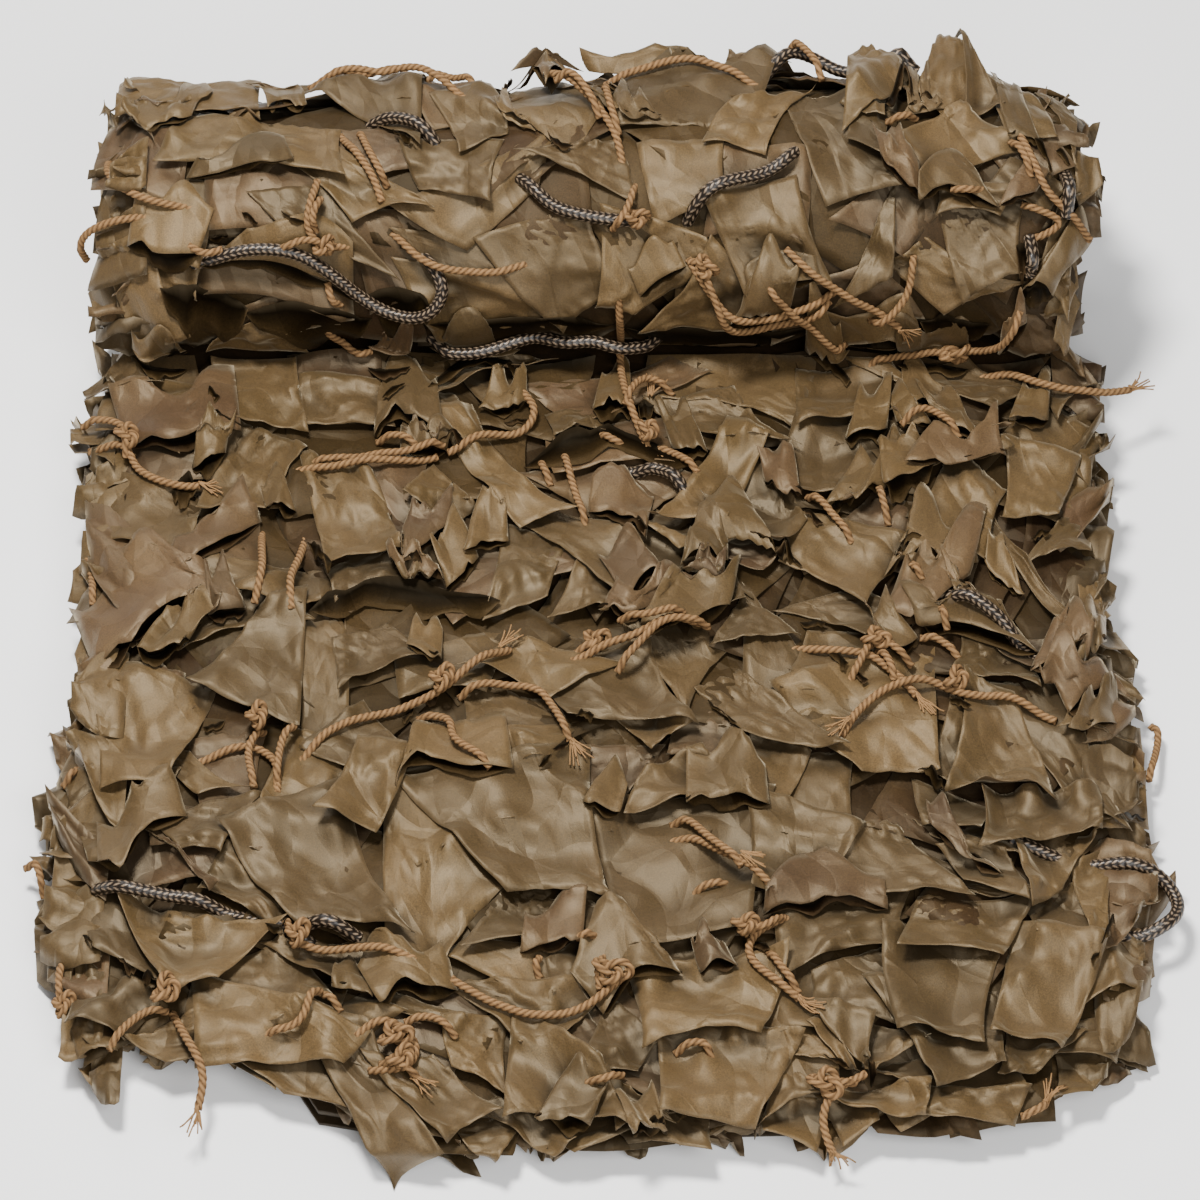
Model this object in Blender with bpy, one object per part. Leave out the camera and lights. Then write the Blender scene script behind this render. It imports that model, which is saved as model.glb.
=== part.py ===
"""Camouflage net, folded lengthwise in four layers with its far end rolled up.

Axes: X across the folded width, -Y toward the loose tail's front edge, +Z up, floor at z = 0.
Places on the net's outer side are given as (x, s): s runs along the surface from the tail's
front edge, up to the crease at the roll and on over the roll to its back.
"""
import math

import bmesh
import bpy
from mathutils import Vector
from mathutils.bvhtree import BVHTree

MM = 0.001

for old in list(bpy.data.objects):
    bpy.data.objects.remove(old, do_unlink=True)

# ------------------------------------------------------------------ main sizes
FRONT_Y = -0.262        # nominal front edge of the tail
CREASE_Y = 0.1445       # where the roll meets the top of the tail
ROLL_Y = 0.204          # roll axis
ROLL_Z = 0.0630
ROLL_R = 0.0640         # a little more than ROLL_Z: the roll sags to a flat spot
BUNDLE = 0.0425         # four layers together
GAP_SHARE = 0.05        # each of the three gaps, as a share of the bundle
LAYER_SHARE = (1.0 - 3.0 * GAP_SHARE) / 4.0
HALF_WIDTH = 0.204
TAIL_LENGTH = CREASE_Y - FRONT_Y
CREASE_ANGLE = math.radians(-18.0)
TWINE_R = 1.75 * MM
ROPE_R = 2.75 * MM
CORD_AIR = 0.45 * MM
CORD_STEP = 8.5 * MM

# Height of the tail's top along its length.
TAIL_TOP = (
    # y, z
    (-0.262, 0.0200),
    (-0.220, 0.0250),
    (-0.170, 0.0310),
    (-0.120, 0.0360),
    (-0.060, 0.0400),
    (0.000, 0.0415),
    (0.060, 0.0415),
    (0.100, 0.0425),
)

# Front edge of the tail across the width: the left third stops short.
FRONT_EDGE = (
    # x, y
    (-0.230, -0.222),
    (-0.130, -0.228),
    (-0.112, -0.262),
    (-0.060, -0.266),
    (0.090, -0.258),
    (0.150, -0.246),
    (0.230, -0.226),
)


def table_value(table, key):
    """Straight-line value from a two-column table."""
    if key <= table[0][0]:
        return table[0][1]
    for (k0, v0), (k1, v1) in zip(table, table[1:]):
        if key <= k1:
            return v0 + (v1 - v0) * (key - k0) / (k1 - k0)
    return table[-1][1]


def fade(value, start, end):
    """Smooth step from 0 at start to 1 at end."""
    t = min(1.0, max(0.0, (value - start) / (end - start)))
    return t * t * (3.0 - 2.0 * t)


def swell(x, s):
    """Soft swells of the cloth, along the surface normal."""
    wave = 1.5 * math.sin(31.0 * x + 1.1) * math.cos(23.0 * s + 0.4)
    wave += 0.9 * math.sin(52.0 * x - 19.0 * s)
    tail = 1.0 - fade(s, TAIL_LENGTH - 0.07, TAIL_LENGTH - 0.03)
    roll = fade(s, TAIL_LENGTH + 0.02, TAIL_LENGTH + 0.05)
    dome = -5.0 * (abs(x) / 0.21) ** 4
    lean = 14.0 * x + 2.0 * math.sin(15.0 * x + 0.6)
    return MM * (tail * (wave * 0.8 + dome) + roll * (wave + lean - 3.0 * (abs(x) / 0.21) ** 6))


def bare_profile(s):
    """Corner-to-corner run of the outer side in the YZ plane."""
    if s < 0.0:
        return FRONT_Y + 0.45 * s, TAIL_TOP[0][1] + 0.75 * s
    if s < TAIL_LENGTH:
        return FRONT_Y + s, table_value(TAIL_TOP, FRONT_Y + s)
    angle = CREASE_ANGLE + (s - TAIL_LENGTH) / ROLL_R
    return ROLL_Y - ROLL_R * math.cos(angle), ROLL_Z + ROLL_R * math.sin(angle)


def profile(s):
    """The same run with its front edge and crease rounded."""
    near = [bare_profile(s + shift * MM) for shift in (-9.0, -4.5, 0.0, 4.5, 9.0)]
    return Vector((sum(p[0] for p in near) / 5.0, sum(p[1] for p in near) / 5.0))


def outward(s):
    """Unit direction away from the net's outer side, in YZ."""
    run_on = profile(s + 0.001) - profile(s - 0.001)
    return Vector((0.0, -run_on.y, run_on.x)).normalized()


def net_point(x, s, height):
    """Point at a height above the net's outer side."""
    base = profile(s)
    point = Vector((x, base.x, base.y)) + outward(s) * (height + swell(x, s))
    point.z = max(point.z, 0.5 * MM)
    return point


# ------------------------------------------------------------------ materials and collections
def make_material(name, colour, rough):
    mat = bpy.data.materials.new(name)
    mat.use_nodes = True
    shader = mat.node_tree.nodes["Principled BSDF"]
    shader.inputs["Base Color"].default_value = (*colour, 1.0)
    shader.inputs["Roughness"].default_value = rough
    return mat


CLOTH = make_material("leaf_cloth", (0.155, 0.120, 0.068), 0.55)
TWINE = make_material("net_twine", (0.43, 0.26, 0.115), 0.85)
ROPE = make_material("border_rope", (0.045, 0.022, 0.012), 0.35)


def own_collection(name):
    coll = bpy.data.collections.new(name)
    bpy.context.scene.collection.children.link(coll)
    return coll


PLATES = own_collection("leaf_plates_helpers")


def add_mesh_object(name, bm, mat, coll):
    mesh = bpy.data.meshes.new(name)
    bmesh.ops.recalc_face_normals(bm, faces=bm.faces[:])
    bm.to_mesh(mesh)
    bm.free()
    mesh.materials.append(mat)
    obj = bpy.data.objects.new(name, mesh)
    coll.objects.link(obj)
    return obj


# ------------------------------------------------------------------ folded section of the bundle
COLUMNS = (-0.165, -0.128, -0.108, -0.050, 0.010, 0.070, 0.135)   # shared by every layer
RUN = len(COLUMNS) + 2
FOLD_BULGE = 0.006
FOLD_POINTS = 3
GAP_END = 0.010         # how far inside a fold its gap ends


def layer_low(k):
    return k * (LAYER_SHARE + GAP_SHARE)


def layer_high(k):
    return layer_low(k) + LAYER_SHARE


def run(left, right, q, k):
    """Points along one face of layer k, left to right, as (x, height share, layer)."""
    return [(x, q, k) for x in (left, *COLUMNS, right)]


def fold(x, lower, upper, side):
    """Points round the outside of the fold that joins two layers."""
    q0 = layer_low(lower)
    q1 = layer_high(upper)
    middle = 0.5 * (q0 + q1)
    return [
        (x + side * FOLD_BULGE * 0.7, q0 + (middle - q0) * 0.45, lower),
        (x + side * FOLD_BULGE, middle, lower),
        (x + side * FOLD_BULGE * 0.7, q1 + (middle - q1) * 0.45, upper),
    ]


def section(s):
    """Back-and-forth outline of the four layers, as named runs in order round the outline."""
    wide = HALF_WIDTH + 0.010 * (1.0 - fade(s, 0.0, 0.40))
    r01 = wide + 0.0045 * math.sin(47.0 * s + 0.5)
    r23 = wide + 0.0050 * math.sin(58.0 * s + 2.3) - 0.002
    l12 = -wide + 0.0050 * math.sin(51.0 * s + 1.2)
    l0 = -wide + 0.0045 * math.sin(63.0 * s)
    l3 = -wide + 0.0055 * math.sin(44.0 * s + 4.0)
    return (
        ("low0", run(l0, r01, layer_low(0), 0)),
        ("right01", fold(r01, 0, 1, 1.0)),
        ("high1", run(l12 + GAP_END, r01, layer_high(1), 1)[::-1]),
        ("low2", run(l12 + GAP_END, r23, layer_low(2), 2)),
        ("right23", fold(r23, 2, 3, 1.0)),
        ("high3", run(l3, r23, layer_high(3), 3)[::-1]),
        ("low3", run(l3, r23 - GAP_END, layer_low(3), 3)),
        ("high2", run(l12, r23 - GAP_END, layer_high(2), 2)[::-1]),
        ("left12", fold(l12, 1, 2, -1.0)[::-1]),
        ("low1", run(l12, r01 - GAP_END, layer_low(1), 1)),
        ("high0", run(l0, r01 - GAP_END, layer_high(0), 0)[::-1]),
    )


# The bundle's way through the roll, once it has passed under the axis.
WINDING = (
    # degrees past the floor, outer radius, inner radius
    (24, 0.0640, 0.0215),
    (51, 0.0640, 0.0215),
    (78, 0.0640, 0.0215),
    (105, 0.0640, 0.0215),
    (132, 0.0640, 0.0215),
    (159, 0.0640, 0.0215),
    (186, 0.0640, 0.0215),
    (213, 0.0640, 0.0215),
    (240, 0.0640, 0.0215),
    (265, 0.0636, 0.0212),
    (283, 0.0600, 0.0170),
    (295, 0.0415, 0.0112),
    (309, 0.0270, 0.0060),
    (333, 0.0188, 0.0035),
    (380, 0.0165, 0.0030),
    (430, 0.0172, 0.0030),
    (480, 0.0175, 0.0030),
    (530, 0.0175, 0.0030),
)
TAIL_STATIONS = 15
LAYER_FRONT = (0.000, 0.005, 0.001, 0.008)   # how far each layer stops behind the front edge


def tail_ring(share):
    """Section ring across the flat part, from the front edge (0) to under the axis (1)."""
    ring = []
    nominal = (ROLL_Y - FRONT_Y) * share
    for _, points in section(nominal):
        for x, q, layer in points:
            start = table_value(FRONT_EDGE, x) + LAYER_FRONT[layer]
            y = start + (ROLL_Y - start) * share
            top = table_value(TAIL_TOP, y) + swell(x, min(y - FRONT_Y, TAIL_LENGTH))
            ring.append(Vector((x, y, q * top)))
    return ring


def roll_ring(degrees, outer, inner):
    """Section ring at one angle of the winding."""
    ring = []
    turn = math.radians(degrees - 90.0)
    s = TAIL_LENGTH + (math.radians(270.0 - degrees) - CREASE_ANGLE) * ROLL_R
    first_turn = degrees < 275
    x_shrink = 1.0 if first_turn else 0.985
    blend = fade(degrees, 0.0, 40.0) * (1.0 - fade(degrees, 262.0, 290.0))
    for _, points in section(0.47 + math.radians(degrees) * 0.05):
        for x, q, _ in points:
            h = swell(x, s) * blend if first_turn else 0.0
            radius = outer + h + (inner - outer - 0.6 * h) * q
            y = ROLL_Y + radius * math.cos(turn)
            z = ROLL_Z + radius * math.sin(turn)
            ring.append(Vector((x * x_shrink, y, max(z, 0.0))))
    return ring


def cap(bm, row):
    """Close one end of the bundle, layer by layer, leaving its gaps open."""
    runs = {}
    at = 0
    for name, points in section(0.0):
        runs[name] = row[at:at + len(points)]
        at += len(points)
    for name in ("high0", "high1", "high2", "high3", "left12"):
        runs[name] = runs[name][::-1]
    for k in range(4):
        low = runs[f"low{k}"]
        high = runs[f"high{k}"]
        for i in range(RUN - 1):
            bm.faces.new((low[i], low[i + 1], high[i + 1], high[i]))
    bm.faces.new((runs["low0"][-1], *runs["right01"], runs["high1"][-1], runs["low1"][-1],
                  runs["high0"][-1]))
    bm.faces.new((runs["low2"][-1], *runs["right23"], runs["high3"][-1], runs["low3"][-1],
                  runs["high2"][-1]))
    bm.faces.new((runs["low1"][0], *runs["left12"], runs["high2"][0], runs["low2"][0],
                  runs["high1"][0]))


def make_bundle():
    rings = [tail_ring(i / (TAIL_STATIONS - 1)) for i in range(TAIL_STATIONS)]
    rings += [roll_ring(*row) for row in WINDING]
    bm = bmesh.new()
    rows = [[bm.verts.new(p) for p in ring] for ring in rings]
    count = len(rows[0])
    for row, following in zip(rows, rows[1:]):
        for i in range(count):
            j = (i + 1) % count
            bm.faces.new((row[i], row[j], following[j], following[i]))
    cap(bm, rows[0])
    cap(bm, rows[-1])
    bmesh.ops.triangulate(bm, faces=bm.faces[:])
    return bm


# ------------------------------------------------------------------ leaf-cut pieces
# Half widths from root to tip, as a share of the leaf's half width.
LEAF_FORMS = {
    "leaf": (0.45, 1.00, 0.82, 0.25),
    "block": (0.85, 1.00, 0.98, 0.92),
    "round": (0.60, 1.00, 0.95, 0.50),
    "fan": (0.30, 0.70, 0.98, 0.92),
}
FORM_PLACES = (0.0, 0.32, 0.74, 1.0)
LEAF_THICK = 2.2 * MM

LEAVES = (
    # x, s, length, width (mm), turn (deg: 0 tip forward, 90 tip right), tip lift (mm), form
    (-180, 545, 80, 62, 15, 3, "round"),
    (-112, 527, 78, 44, 80, 5, "leaf"),
    (-152, 497, 82, 40, 88, 4, "block"),
    (-58, 545, 70, 56, -20, 4, "leaf"),
    (18, 572, 74, 52, 8, 7, "leaf"),
    (-25, 505, 80, 62, 30, 4, "round"),
    (45, 525, 76, 60, -30, 5, "block"),
    (110, 556, 62, 60, 176, 9, "block"),
    (152, 552, 68, 54, 172, 15, "leaf"),
    (150, 512, 66, 60, 4, 9, "block"),
    (182, 548, 56, 48, 120, 12, "leaf"),
    (196, 500, 56, 52, 78, 9, "leaf"),
    (-198, 492, 56, 50, -78, 7, "leaf"),
    (-180, 452, 70, 58, -20, 4, "round"),
    (-118, 468, 84, 56, 60, 4, "leaf"),
    (-60, 466, 74, 56, -20, 5, "round"),
    (5, 462, 80, 60, 10, 5, "block"),
    (76, 474, 88, 62, -18, 6, "leaf"),
    (136, 458, 76, 58, 25, 5, "round"),
    (186, 456, 60, 54, 60, 6, "leaf"),
    (-160, 612, 84, 66, 160, 3, "round"),
    (-88, 618, 86, 60, 200, 4, "leaf"),
    (-12, 622, 84, 66, 172, 3, "block"),
    (66, 616, 84, 60, 190, 4, "leaf"),
    (140, 622, 84, 66, 168, 4, "round"),
    (-178, 384, 76, 60, 20, 4, "leaf"),
    (-92, 372, 70, 56, -10, 4, "block"),
    (-18, 384, 70, 56, 25, 4, "round"),
    (62, 378, 80, 60, -15, 5, "leaf"),
    (140, 372, 78, 60, 10, 5, "block"),
    (192, 350, 70, 50, 60, 5, "leaf"),
    (-196, 322, 66, 56, -60, 4, "leaf"),
    (-150, 326, 70, 56, 25, 5, "fan"),
    (-104, 312, 72, 64, -12, 5, "fan"),
    (-62, 318, 56, 36, 5, 4, "block"),
    (-22, 322, 76, 56, 20, 5, "round"),
    (34, 318, 84, 54, -15, 5, "leaf"),
    (98, 302, 84, 66, 6, 6, "block"),
    (152, 296, 84, 64, -10, 6, "leaf"),
    (202, 282, 62, 50, 55, 6, "leaf"),
    (-204, 260, 62, 50, -50, 6, "round"),
    (-138, 232, 64, 46, -5, 5, "block"),
    (-70, 256, 80, 60, 20, 5, "leaf"),
    (-6, 250, 80, 58, -20, 5, "fan"),
    (70, 238, 84, 70, 12, 6, "round"),
    (132, 226, 76, 60, -15, 6, "leaf"),
    (204, 214, 66, 56, 70, 7, "leaf"),
    (-186, 186, 76, 60, -20, 5, "leaf"),
    (-98, 172, 72, 50, 8, 5, "block"),
    (-26, 180, 84, 64, -10, 5, "round"),
    (58, 172, 80, 64, 15, 6, "leaf"),
    (126, 168, 78, 60, 4, 6, "block"),
    (192, 140, 74, 56, 40, 6, "round"),
    (-208, 122, 62, 54, -55, 6, "leaf"),
    (-112, 112, 90, 78, 6, 5, "round"),
    (-34, 108, 80, 62, 18, 5, "leaf"),
    (26, 106, 78, 62, -14, 6, "leaf"),
    (96, 98, 84, 74, 5, 6, "round"),
    (160, 92, 76, 60, 25, 6, "leaf"),
    (212, 78, 58, 52, 65, 6, "leaf"),
    (-192, 66, 66, 60, -30, 5, "round"),
    (-128, 58, 84, 52, 72, 5, "block"),
    (-70, 20, 74, 66, -4, 4, "leaf"),
    (-8, 40, 76, 60, 15, 5, "fan"),
    (28, 14, 66, 60, -6, 4, "round"),
    (88, 40, 76, 62, -25, 6, "fan"),
    (100, 4, 52, 66, 4, 4, "block"),
    (148, 34, 70, 56, 12, 5, "leaf"),
    (196, 40, 60, 54, 45, 6, "leaf"),
)


def make_leaf(index, x0, s0, length, width, turn, lift, form):
    """One conforming leaf plate, its root sunk in the cloth and its tip raised."""
    angle = math.radians(turn)
    along = Vector((math.sin(angle), -math.cos(angle)))
    across = Vector((math.cos(angle), math.sin(angle)))
    top = []
    under = []
    bm = bmesh.new()
    for t, share in zip(FORM_PLACES, LEAF_FORMS[form]):
        centre = 0.2 * MM + lift * MM * t ** 1.8
        for u in (-1.0, 0.0, 1.0):
            bow = 0.6 * MM * t * (1.0 - abs(u))
            place = along * (t - 0.5) * length * MM + across * u * share * 0.5 * width * MM
            x = x0 * MM + place.x
            s = s0 * MM + place.y
            top.append(bm.verts.new(net_point(x, s, centre + bow + 0.5 * LEAF_THICK)))
            under.append(bm.verts.new(net_point(x, s, centre + bow - 0.5 * LEAF_THICK)))
    rows = len(FORM_PLACES)
    for i in range(rows - 1):
        for j in range(2):
            a = i * 3 + j
            bm.faces.new((top[a], top[a + 1], top[a + 4], top[a + 3]))
            bm.faces.new((under[a + 3], under[a + 4], under[a + 1], under[a]))
    rim = [0, 1, 2] + [i * 3 + 2 for i in range(1, rows)]
    rim += [rows * 3 - 2, rows * 3 - 3] + [i * 3 for i in range(rows - 2, 0, -1)]
    for a, b in zip(rim, rim[1:] + rim[:1]):
        bm.faces.new((top[b], top[a], under[a], under[b]))
    bmesh.ops.triangulate(bm, faces=bm.faces[:])
    plate = add_mesh_object(f"leaf_plate_{index:02d}", bm, CLOTH, PLATES)
    plate.hide_render = True
    plate.display_type = "WIRE"
    return plate


def drop_inner_shells(mesh):
    """Keep only the outside shell of the united cloth."""
    bm = bmesh.new()
    bm.from_mesh(mesh)
    bmesh.ops.remove_doubles(bm, verts=bm.verts[:], dist=0.00004)
    bmesh.ops.dissolve_degenerate(bm, dist=0.00004, edges=bm.edges[:])
    bm.faces.ensure_lookup_table()
    seen = set()
    shells = []
    for start in bm.faces:
        if start.index in seen:
            continue
        shell = []
        stack = [start]
        seen.add(start.index)
        while stack:
            face = stack.pop()
            shell.append(face)
            for edge in face.edges:
                for other in edge.link_faces:
                    if other.index not in seen:
                        seen.add(other.index)
                        stack.append(other)
        shells.append(shell)
    shells.sort(key=len, reverse=True)
    spare = [face for shell in shells[1:] for face in shell]
    if spare:
        bmesh.ops.delete(bm, geom=spare, context="FACES")
        loose = [v for v in bm.verts if not v.link_faces]
        bmesh.ops.delete(bm, geom=loose, context="VERTS")
    bmesh.ops.triangulate(bm, faces=bm.faces[:])
    bm.to_mesh(mesh)
    bm.free()


net_coll = own_collection("leaf_net")
for number, row in enumerate(LEAVES):
    make_leaf(number, *row)
bundle = add_mesh_object("bundle_blank", make_bundle(), CLOTH, PLATES)
bundle.hide_render = True
bundle.display_type = "WIRE"

net_mesh = bundle.data.copy()
net_mesh.name = "leaf_net"
net = bpy.data.objects.new("leaf_net", net_mesh)
net_coll.objects.link(net)
PLATES.objects.unlink(bundle)
bpy.data.objects.remove(bundle)
union = net.modifiers.new("leaves", "BOOLEAN")
union.operation = "UNION"
union.solver = "EXACT"
union.operand_type = "COLLECTION"
union.collection = PLATES
union.use_self = True
graph = bpy.context.evaluated_depsgraph_get()
joined = bpy.data.meshes.new_from_object(net.evaluated_get(graph))
net.modifiers.clear()
net.data = joined
joined.name = "leaf_net"
drop_inner_shells(joined)
for plate in list(PLATES.objects):
    bpy.data.objects.remove(plate, do_unlink=True)
bpy.data.collections.remove(PLATES)

# ------------------------------------------------------------------ cords laid on the cloth
ROPES = (
    # name, route of (x, s) in mm
    ("border_rope_loop", (
        (-176, 458), (-159, 466), (-143, 468), (-130, 466), (-115, 456), (-103, 442),
        (-90, 437), (-79, 440), (-74, 449), (-80, 457))),
    ("border_rope_top_left", ((-118, 548), (-104, 542), (-89, 535), (-74, 525), (-62, 512))),
    ("border_rope_middle", ((-42, 508), (-32, 498), (-20, 486), (0, 481), (20, 480), (36, 486))),
    ("border_rope_double", ((34, 472), (44, 490), (58, 496), (72, 500), (84, 510), (90, 524))),
    ("border_rope_top", ((70, 566), (82, 574), (98, 578), (114, 574), (126, 566))),
    ("border_rope_tail", ((120, 262), (136, 270), (152, 267), (170, 255), (184, 240))),
    ("border_rope_left", ((-206, 126), (-194, 120), (-176, 118), (-154, 114), (-132, 106),
                          (-116, 98))),
    ("border_rope_right", ((168, 146), (186, 138), (204, 134), (222, 132), (233, 128),
                           (233, 120), (222, 114), (206, 112))),
)

TWINES = (
    ("twine_tie_roll_left", ((-214, 520), (-213, 505), (-204, 494), (-190, 488), (-176, 486))),
    ("twine_tie_roll_top", ((-128, 574), (-108, 569), (-88, 568), (-74, 562), (-58, 548))),
    ("twine_tie_lens", ((-113, 528), (-106, 514), (-98, 500), (-94, 488))),
    ("twine_tie_by_loop", ((-122, 500), (-124, 486), (-128, 476), (-120, 470), (-108, 472))),
    ("twine_tie_out_left", ((-196, 482), (-210, 480), (-222, 474), (-226, 464), (-224, 450))),
    ("twine_tie_mid", ((-90, 474), (-78, 464), (-62, 459), (-46, 458), (-32, 460))),
    ("twine_tie_roll_v", ((-24, 556), (-10, 544), (2, 530), (8, 516), (10, 504))),
    ("twine_tie_top_mid", ((0, 556), (14, 564), (32, 568), (52, 566), (70, 556))),
    ("twine_tie_right_v", ((180, 522), (186, 506), (192, 492), (204, 482), (212, 470))),
    ("twine_tie_crease", ((38, 463), (46, 452), (56, 440), (72, 438), (88, 442), (102, 448))),
    ("twine_tie_frayed", ((80, 468), (92, 459), (105, 450), (118, 441), (130, 432))),
    ("twine_tie_out_right", ((166, 400), (180, 396), (192, 388), (206, 386), (220, 388),
                             (232, 394))),
    ("twine_tie_hanging", ((8, 446), (9, 424), (9, 400), (12, 378), (20, 356))),
    ("twine_tie_left_knot", ((-222, 362), (-206, 358), (-200, 346), (-188, 336), (-172, 334))),
    ("twine_tie_fan", ((-132, 344), (-112, 342), (-92, 344), (-70, 350))),
    ("twine_tie_hook", ((-66, 352), (-50, 360), (-34, 364), (-28, 374), (-34, 386))),
    ("twine_tie_v_left", ((-145, 312), (-144, 296), (-143, 280), (-146, 266))),
    ("twine_tie_v_right", ((-126, 308), (-128, 292), (-131, 277), (-130, 262))),
    ("twine_tie_middle_bow", ((-12, 236), (2, 241), (16, 243), (30, 250), (44, 252))),
    ("twine_tie_big_a", ((80, 246), (98, 242), (113, 238), (124, 228), (132, 216))),
    ("twine_tie_right_long", ((100, 194), (108, 208), (122, 219), (138, 224), (152, 218),
                              (170, 217), (190, 207))),
    ("twine_tie_left_long", ((-38, 242), (-54, 228), (-68, 218), (-90, 211), (-109, 201),
                             (-124, 186))),
    ("twine_tie_left_fan", ((-168, 186), (-150, 191), (-138, 197), (-134, 184), (-134, 168))),
    ("twine_tie_tongue", ((-127, 104), (-121, 93), (-106, 91), (-90, 89), (-74, 84))),
    ("twine_tie_low_mid", ((-60, 78), (-42, 67), (-22, 61), (-2, 67), (12, 82))),
    ("twine_tie_low_right", ((28, 148), (38, 147), (48, 138), (60, 128), (70, 118))),
    ("twine_tie_scallop", ((76, 108), (62, 98), (60, 88), (68, 78), (80, 68))),
    ("twine_tie_front_left", ((-172, 66), (-165, 50), (-158, 36), (-160, 22))),
    ("twine_tie_front_knot", ((-98, 52), (-88, 58), (-77, 54), (-73, 44), (-80, 36), (-92, 38))),
    ("twine_tie_front_right", ((106, 34), (94, 27), (88, 16), (92, 2))),
)


def smooth_route(points, step):
    """Evenly spaced places along a smooth curve through the chosen points."""
    pts = [Vector((x * MM, s * MM)) for x, s in points]
    pts = [2.0 * pts[0] - pts[1]] + pts + [2.0 * pts[-1] - pts[-2]]
    fine = []
    for a, b, c, d in zip(pts, pts[1:], pts[2:], pts[3:]):
        for i in range(16):
            t = i / 16.0
            fine.append(0.5 * (2.0 * b + (c - a) * t + (2.0 * a - 5.0 * b + 4.0 * c - d) * t * t
                               + (3.0 * b - a - 3.0 * c + d) * t ** 3))
    fine.append(pts[-2])
    reach = [0.0]
    for a, b in zip(fine, fine[1:]):
        reach.append(reach[-1] + (b - a).length)
    count = max(3, round(reach[-1] / step) + 1)
    out = []
    k = 0
    for i in range(count):
        goal = reach[-1] * i / (count - 1)
        while k < len(fine) - 2 and reach[k + 1] < goal:
            k += 1
        share = (goal - reach[k]) / (reach[k + 1] - reach[k])
        out.append(fine[k].lerp(fine[k + 1], share))
    return out


def surface_height(trees, x, s):
    """Height of the outermost thing above the nominal surface at one place."""
    normal = outward(s)
    origin = net_point(x, s, 0.0)
    best = -0.02
    for tree in trees:
        hit = tree.ray_cast(origin + normal * 0.06, -normal, 0.08)
        if hit[0] is not None:
            best = max(best, 0.06 - hit[3])
    return best


def nearest(trees, point):
    return min(tree.find_nearest(point)[3] for tree in trees)


def seat(trees, places, radius):
    """Heights that lay a cord on whatever is already there without touching it."""
    heights = []
    for place in places:
        around = [(0.0, 0.0), (radius, 0.0), (-radius, 0.0), (0.0, radius), (0.0, -radius)]
        here = max(surface_height(trees, place.x + dx, place.y + dy) for dx, dy in around)
        heights.append(here + radius + CORD_AIR)
    for _ in range(40):
        slack = [h for h in heights]
        for i in range(1, len(heights)):
            slack[i] = max(slack[i], slack[i - 1] - 0.75 * CORD_STEP * 0.5)
        for i in range(len(heights) - 2, -1, -1):
            slack[i] = max(slack[i], slack[i + 1] - 0.75 * CORD_STEP * 0.5)
        heights = slack
        spots = [place_vector(p, h) for p, h in zip(places, heights)]
        worst = 0.0
        for i, spot in enumerate(spots):
            tests = [spot]
            if i + 1 < len(spots):
                tests += [spot.lerp(spots[i + 1], share) for share in (0.25, 0.5, 0.75)]
            need = radius + CORD_AIR - min(nearest(trees, point) for point in tests)
            if need > 0.0:
                heights[i] += 0.6 * need + 0.0001
                if i + 1 < len(spots):
                    heights[i + 1] += 0.6 * need + 0.0001
                worst = max(worst, need)
        if worst <= 0.0:
            break
    return [place_vector(p, h) for p, h in zip(places, heights)]


def place_vector(place, height):
    return net_point(place.x, place.y, 0.0) + outward(place.y) * height


def make_cord(name, route, radius, mat, trees):
    points = seat(trees, smooth_route(route, CORD_STEP), radius)
    data = bpy.data.curves.new(name, "CURVE")
    data.dimensions = "3D"
    spline = data.splines.new("POLY")
    spline.points.add(len(points) - 1)
    for slot, point in zip(spline.points, points):
        slot.co = (point.x, point.y, max(point.z, radius + 0.0003), 1.0)
    spline.use_smooth = True
    data.bevel_depth = radius
    data.bevel_resolution = 2
    data.use_fill_caps = True
    data.materials.append(mat)
    obj = bpy.data.objects.new(name, data)
    own_collection(name).objects.link(obj)
    bpy.context.view_layer.update()
    shape = obj.to_mesh()
    tree = BVHTree.FromPolygons([v.co.copy() for v in shape.vertices],
                                [tuple(p.vertices) for p in shape.polygons])
    obj.to_mesh_clear()
    trees.append(tree)
    return obj


laid = [BVHTree.FromPolygons([v.co.copy() for v in joined.vertices],
                             [tuple(p.vertices) for p in joined.polygons])]
for label, cord_route in ROPES:
    make_cord(label, cord_route, ROPE_R, ROPE, laid)
for label, cord_route in TWINES:
    make_cord(label, cord_route, TWINE_R, TWINE, laid)

# ------------------------------------------------------------------ origin at the base's middle
corners = [vert.co for vert in net.data.vertices]
middle_y = 0.5 * (min(c.y for c in corners) + max(c.y for c in corners))
middle_x = 0.5 * (min(c.x for c in corners) + max(c.x for c in corners))
for obj in bpy.context.scene.objects:
    obj.location = (-middle_x, -middle_y, 0.0)
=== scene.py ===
"""Camouflage net, folded lengthwise and rolled at its far end: the dressed model.

Lengths are in metres unless a heading says millimetres. A place on the net is (x, s, h): x runs
across, s along its outside from the front edge back and over the roll, and h off its mean surface.
A place in the picture is (column, row), in a picture 1200 units wide and high.
"""
import math

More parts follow.
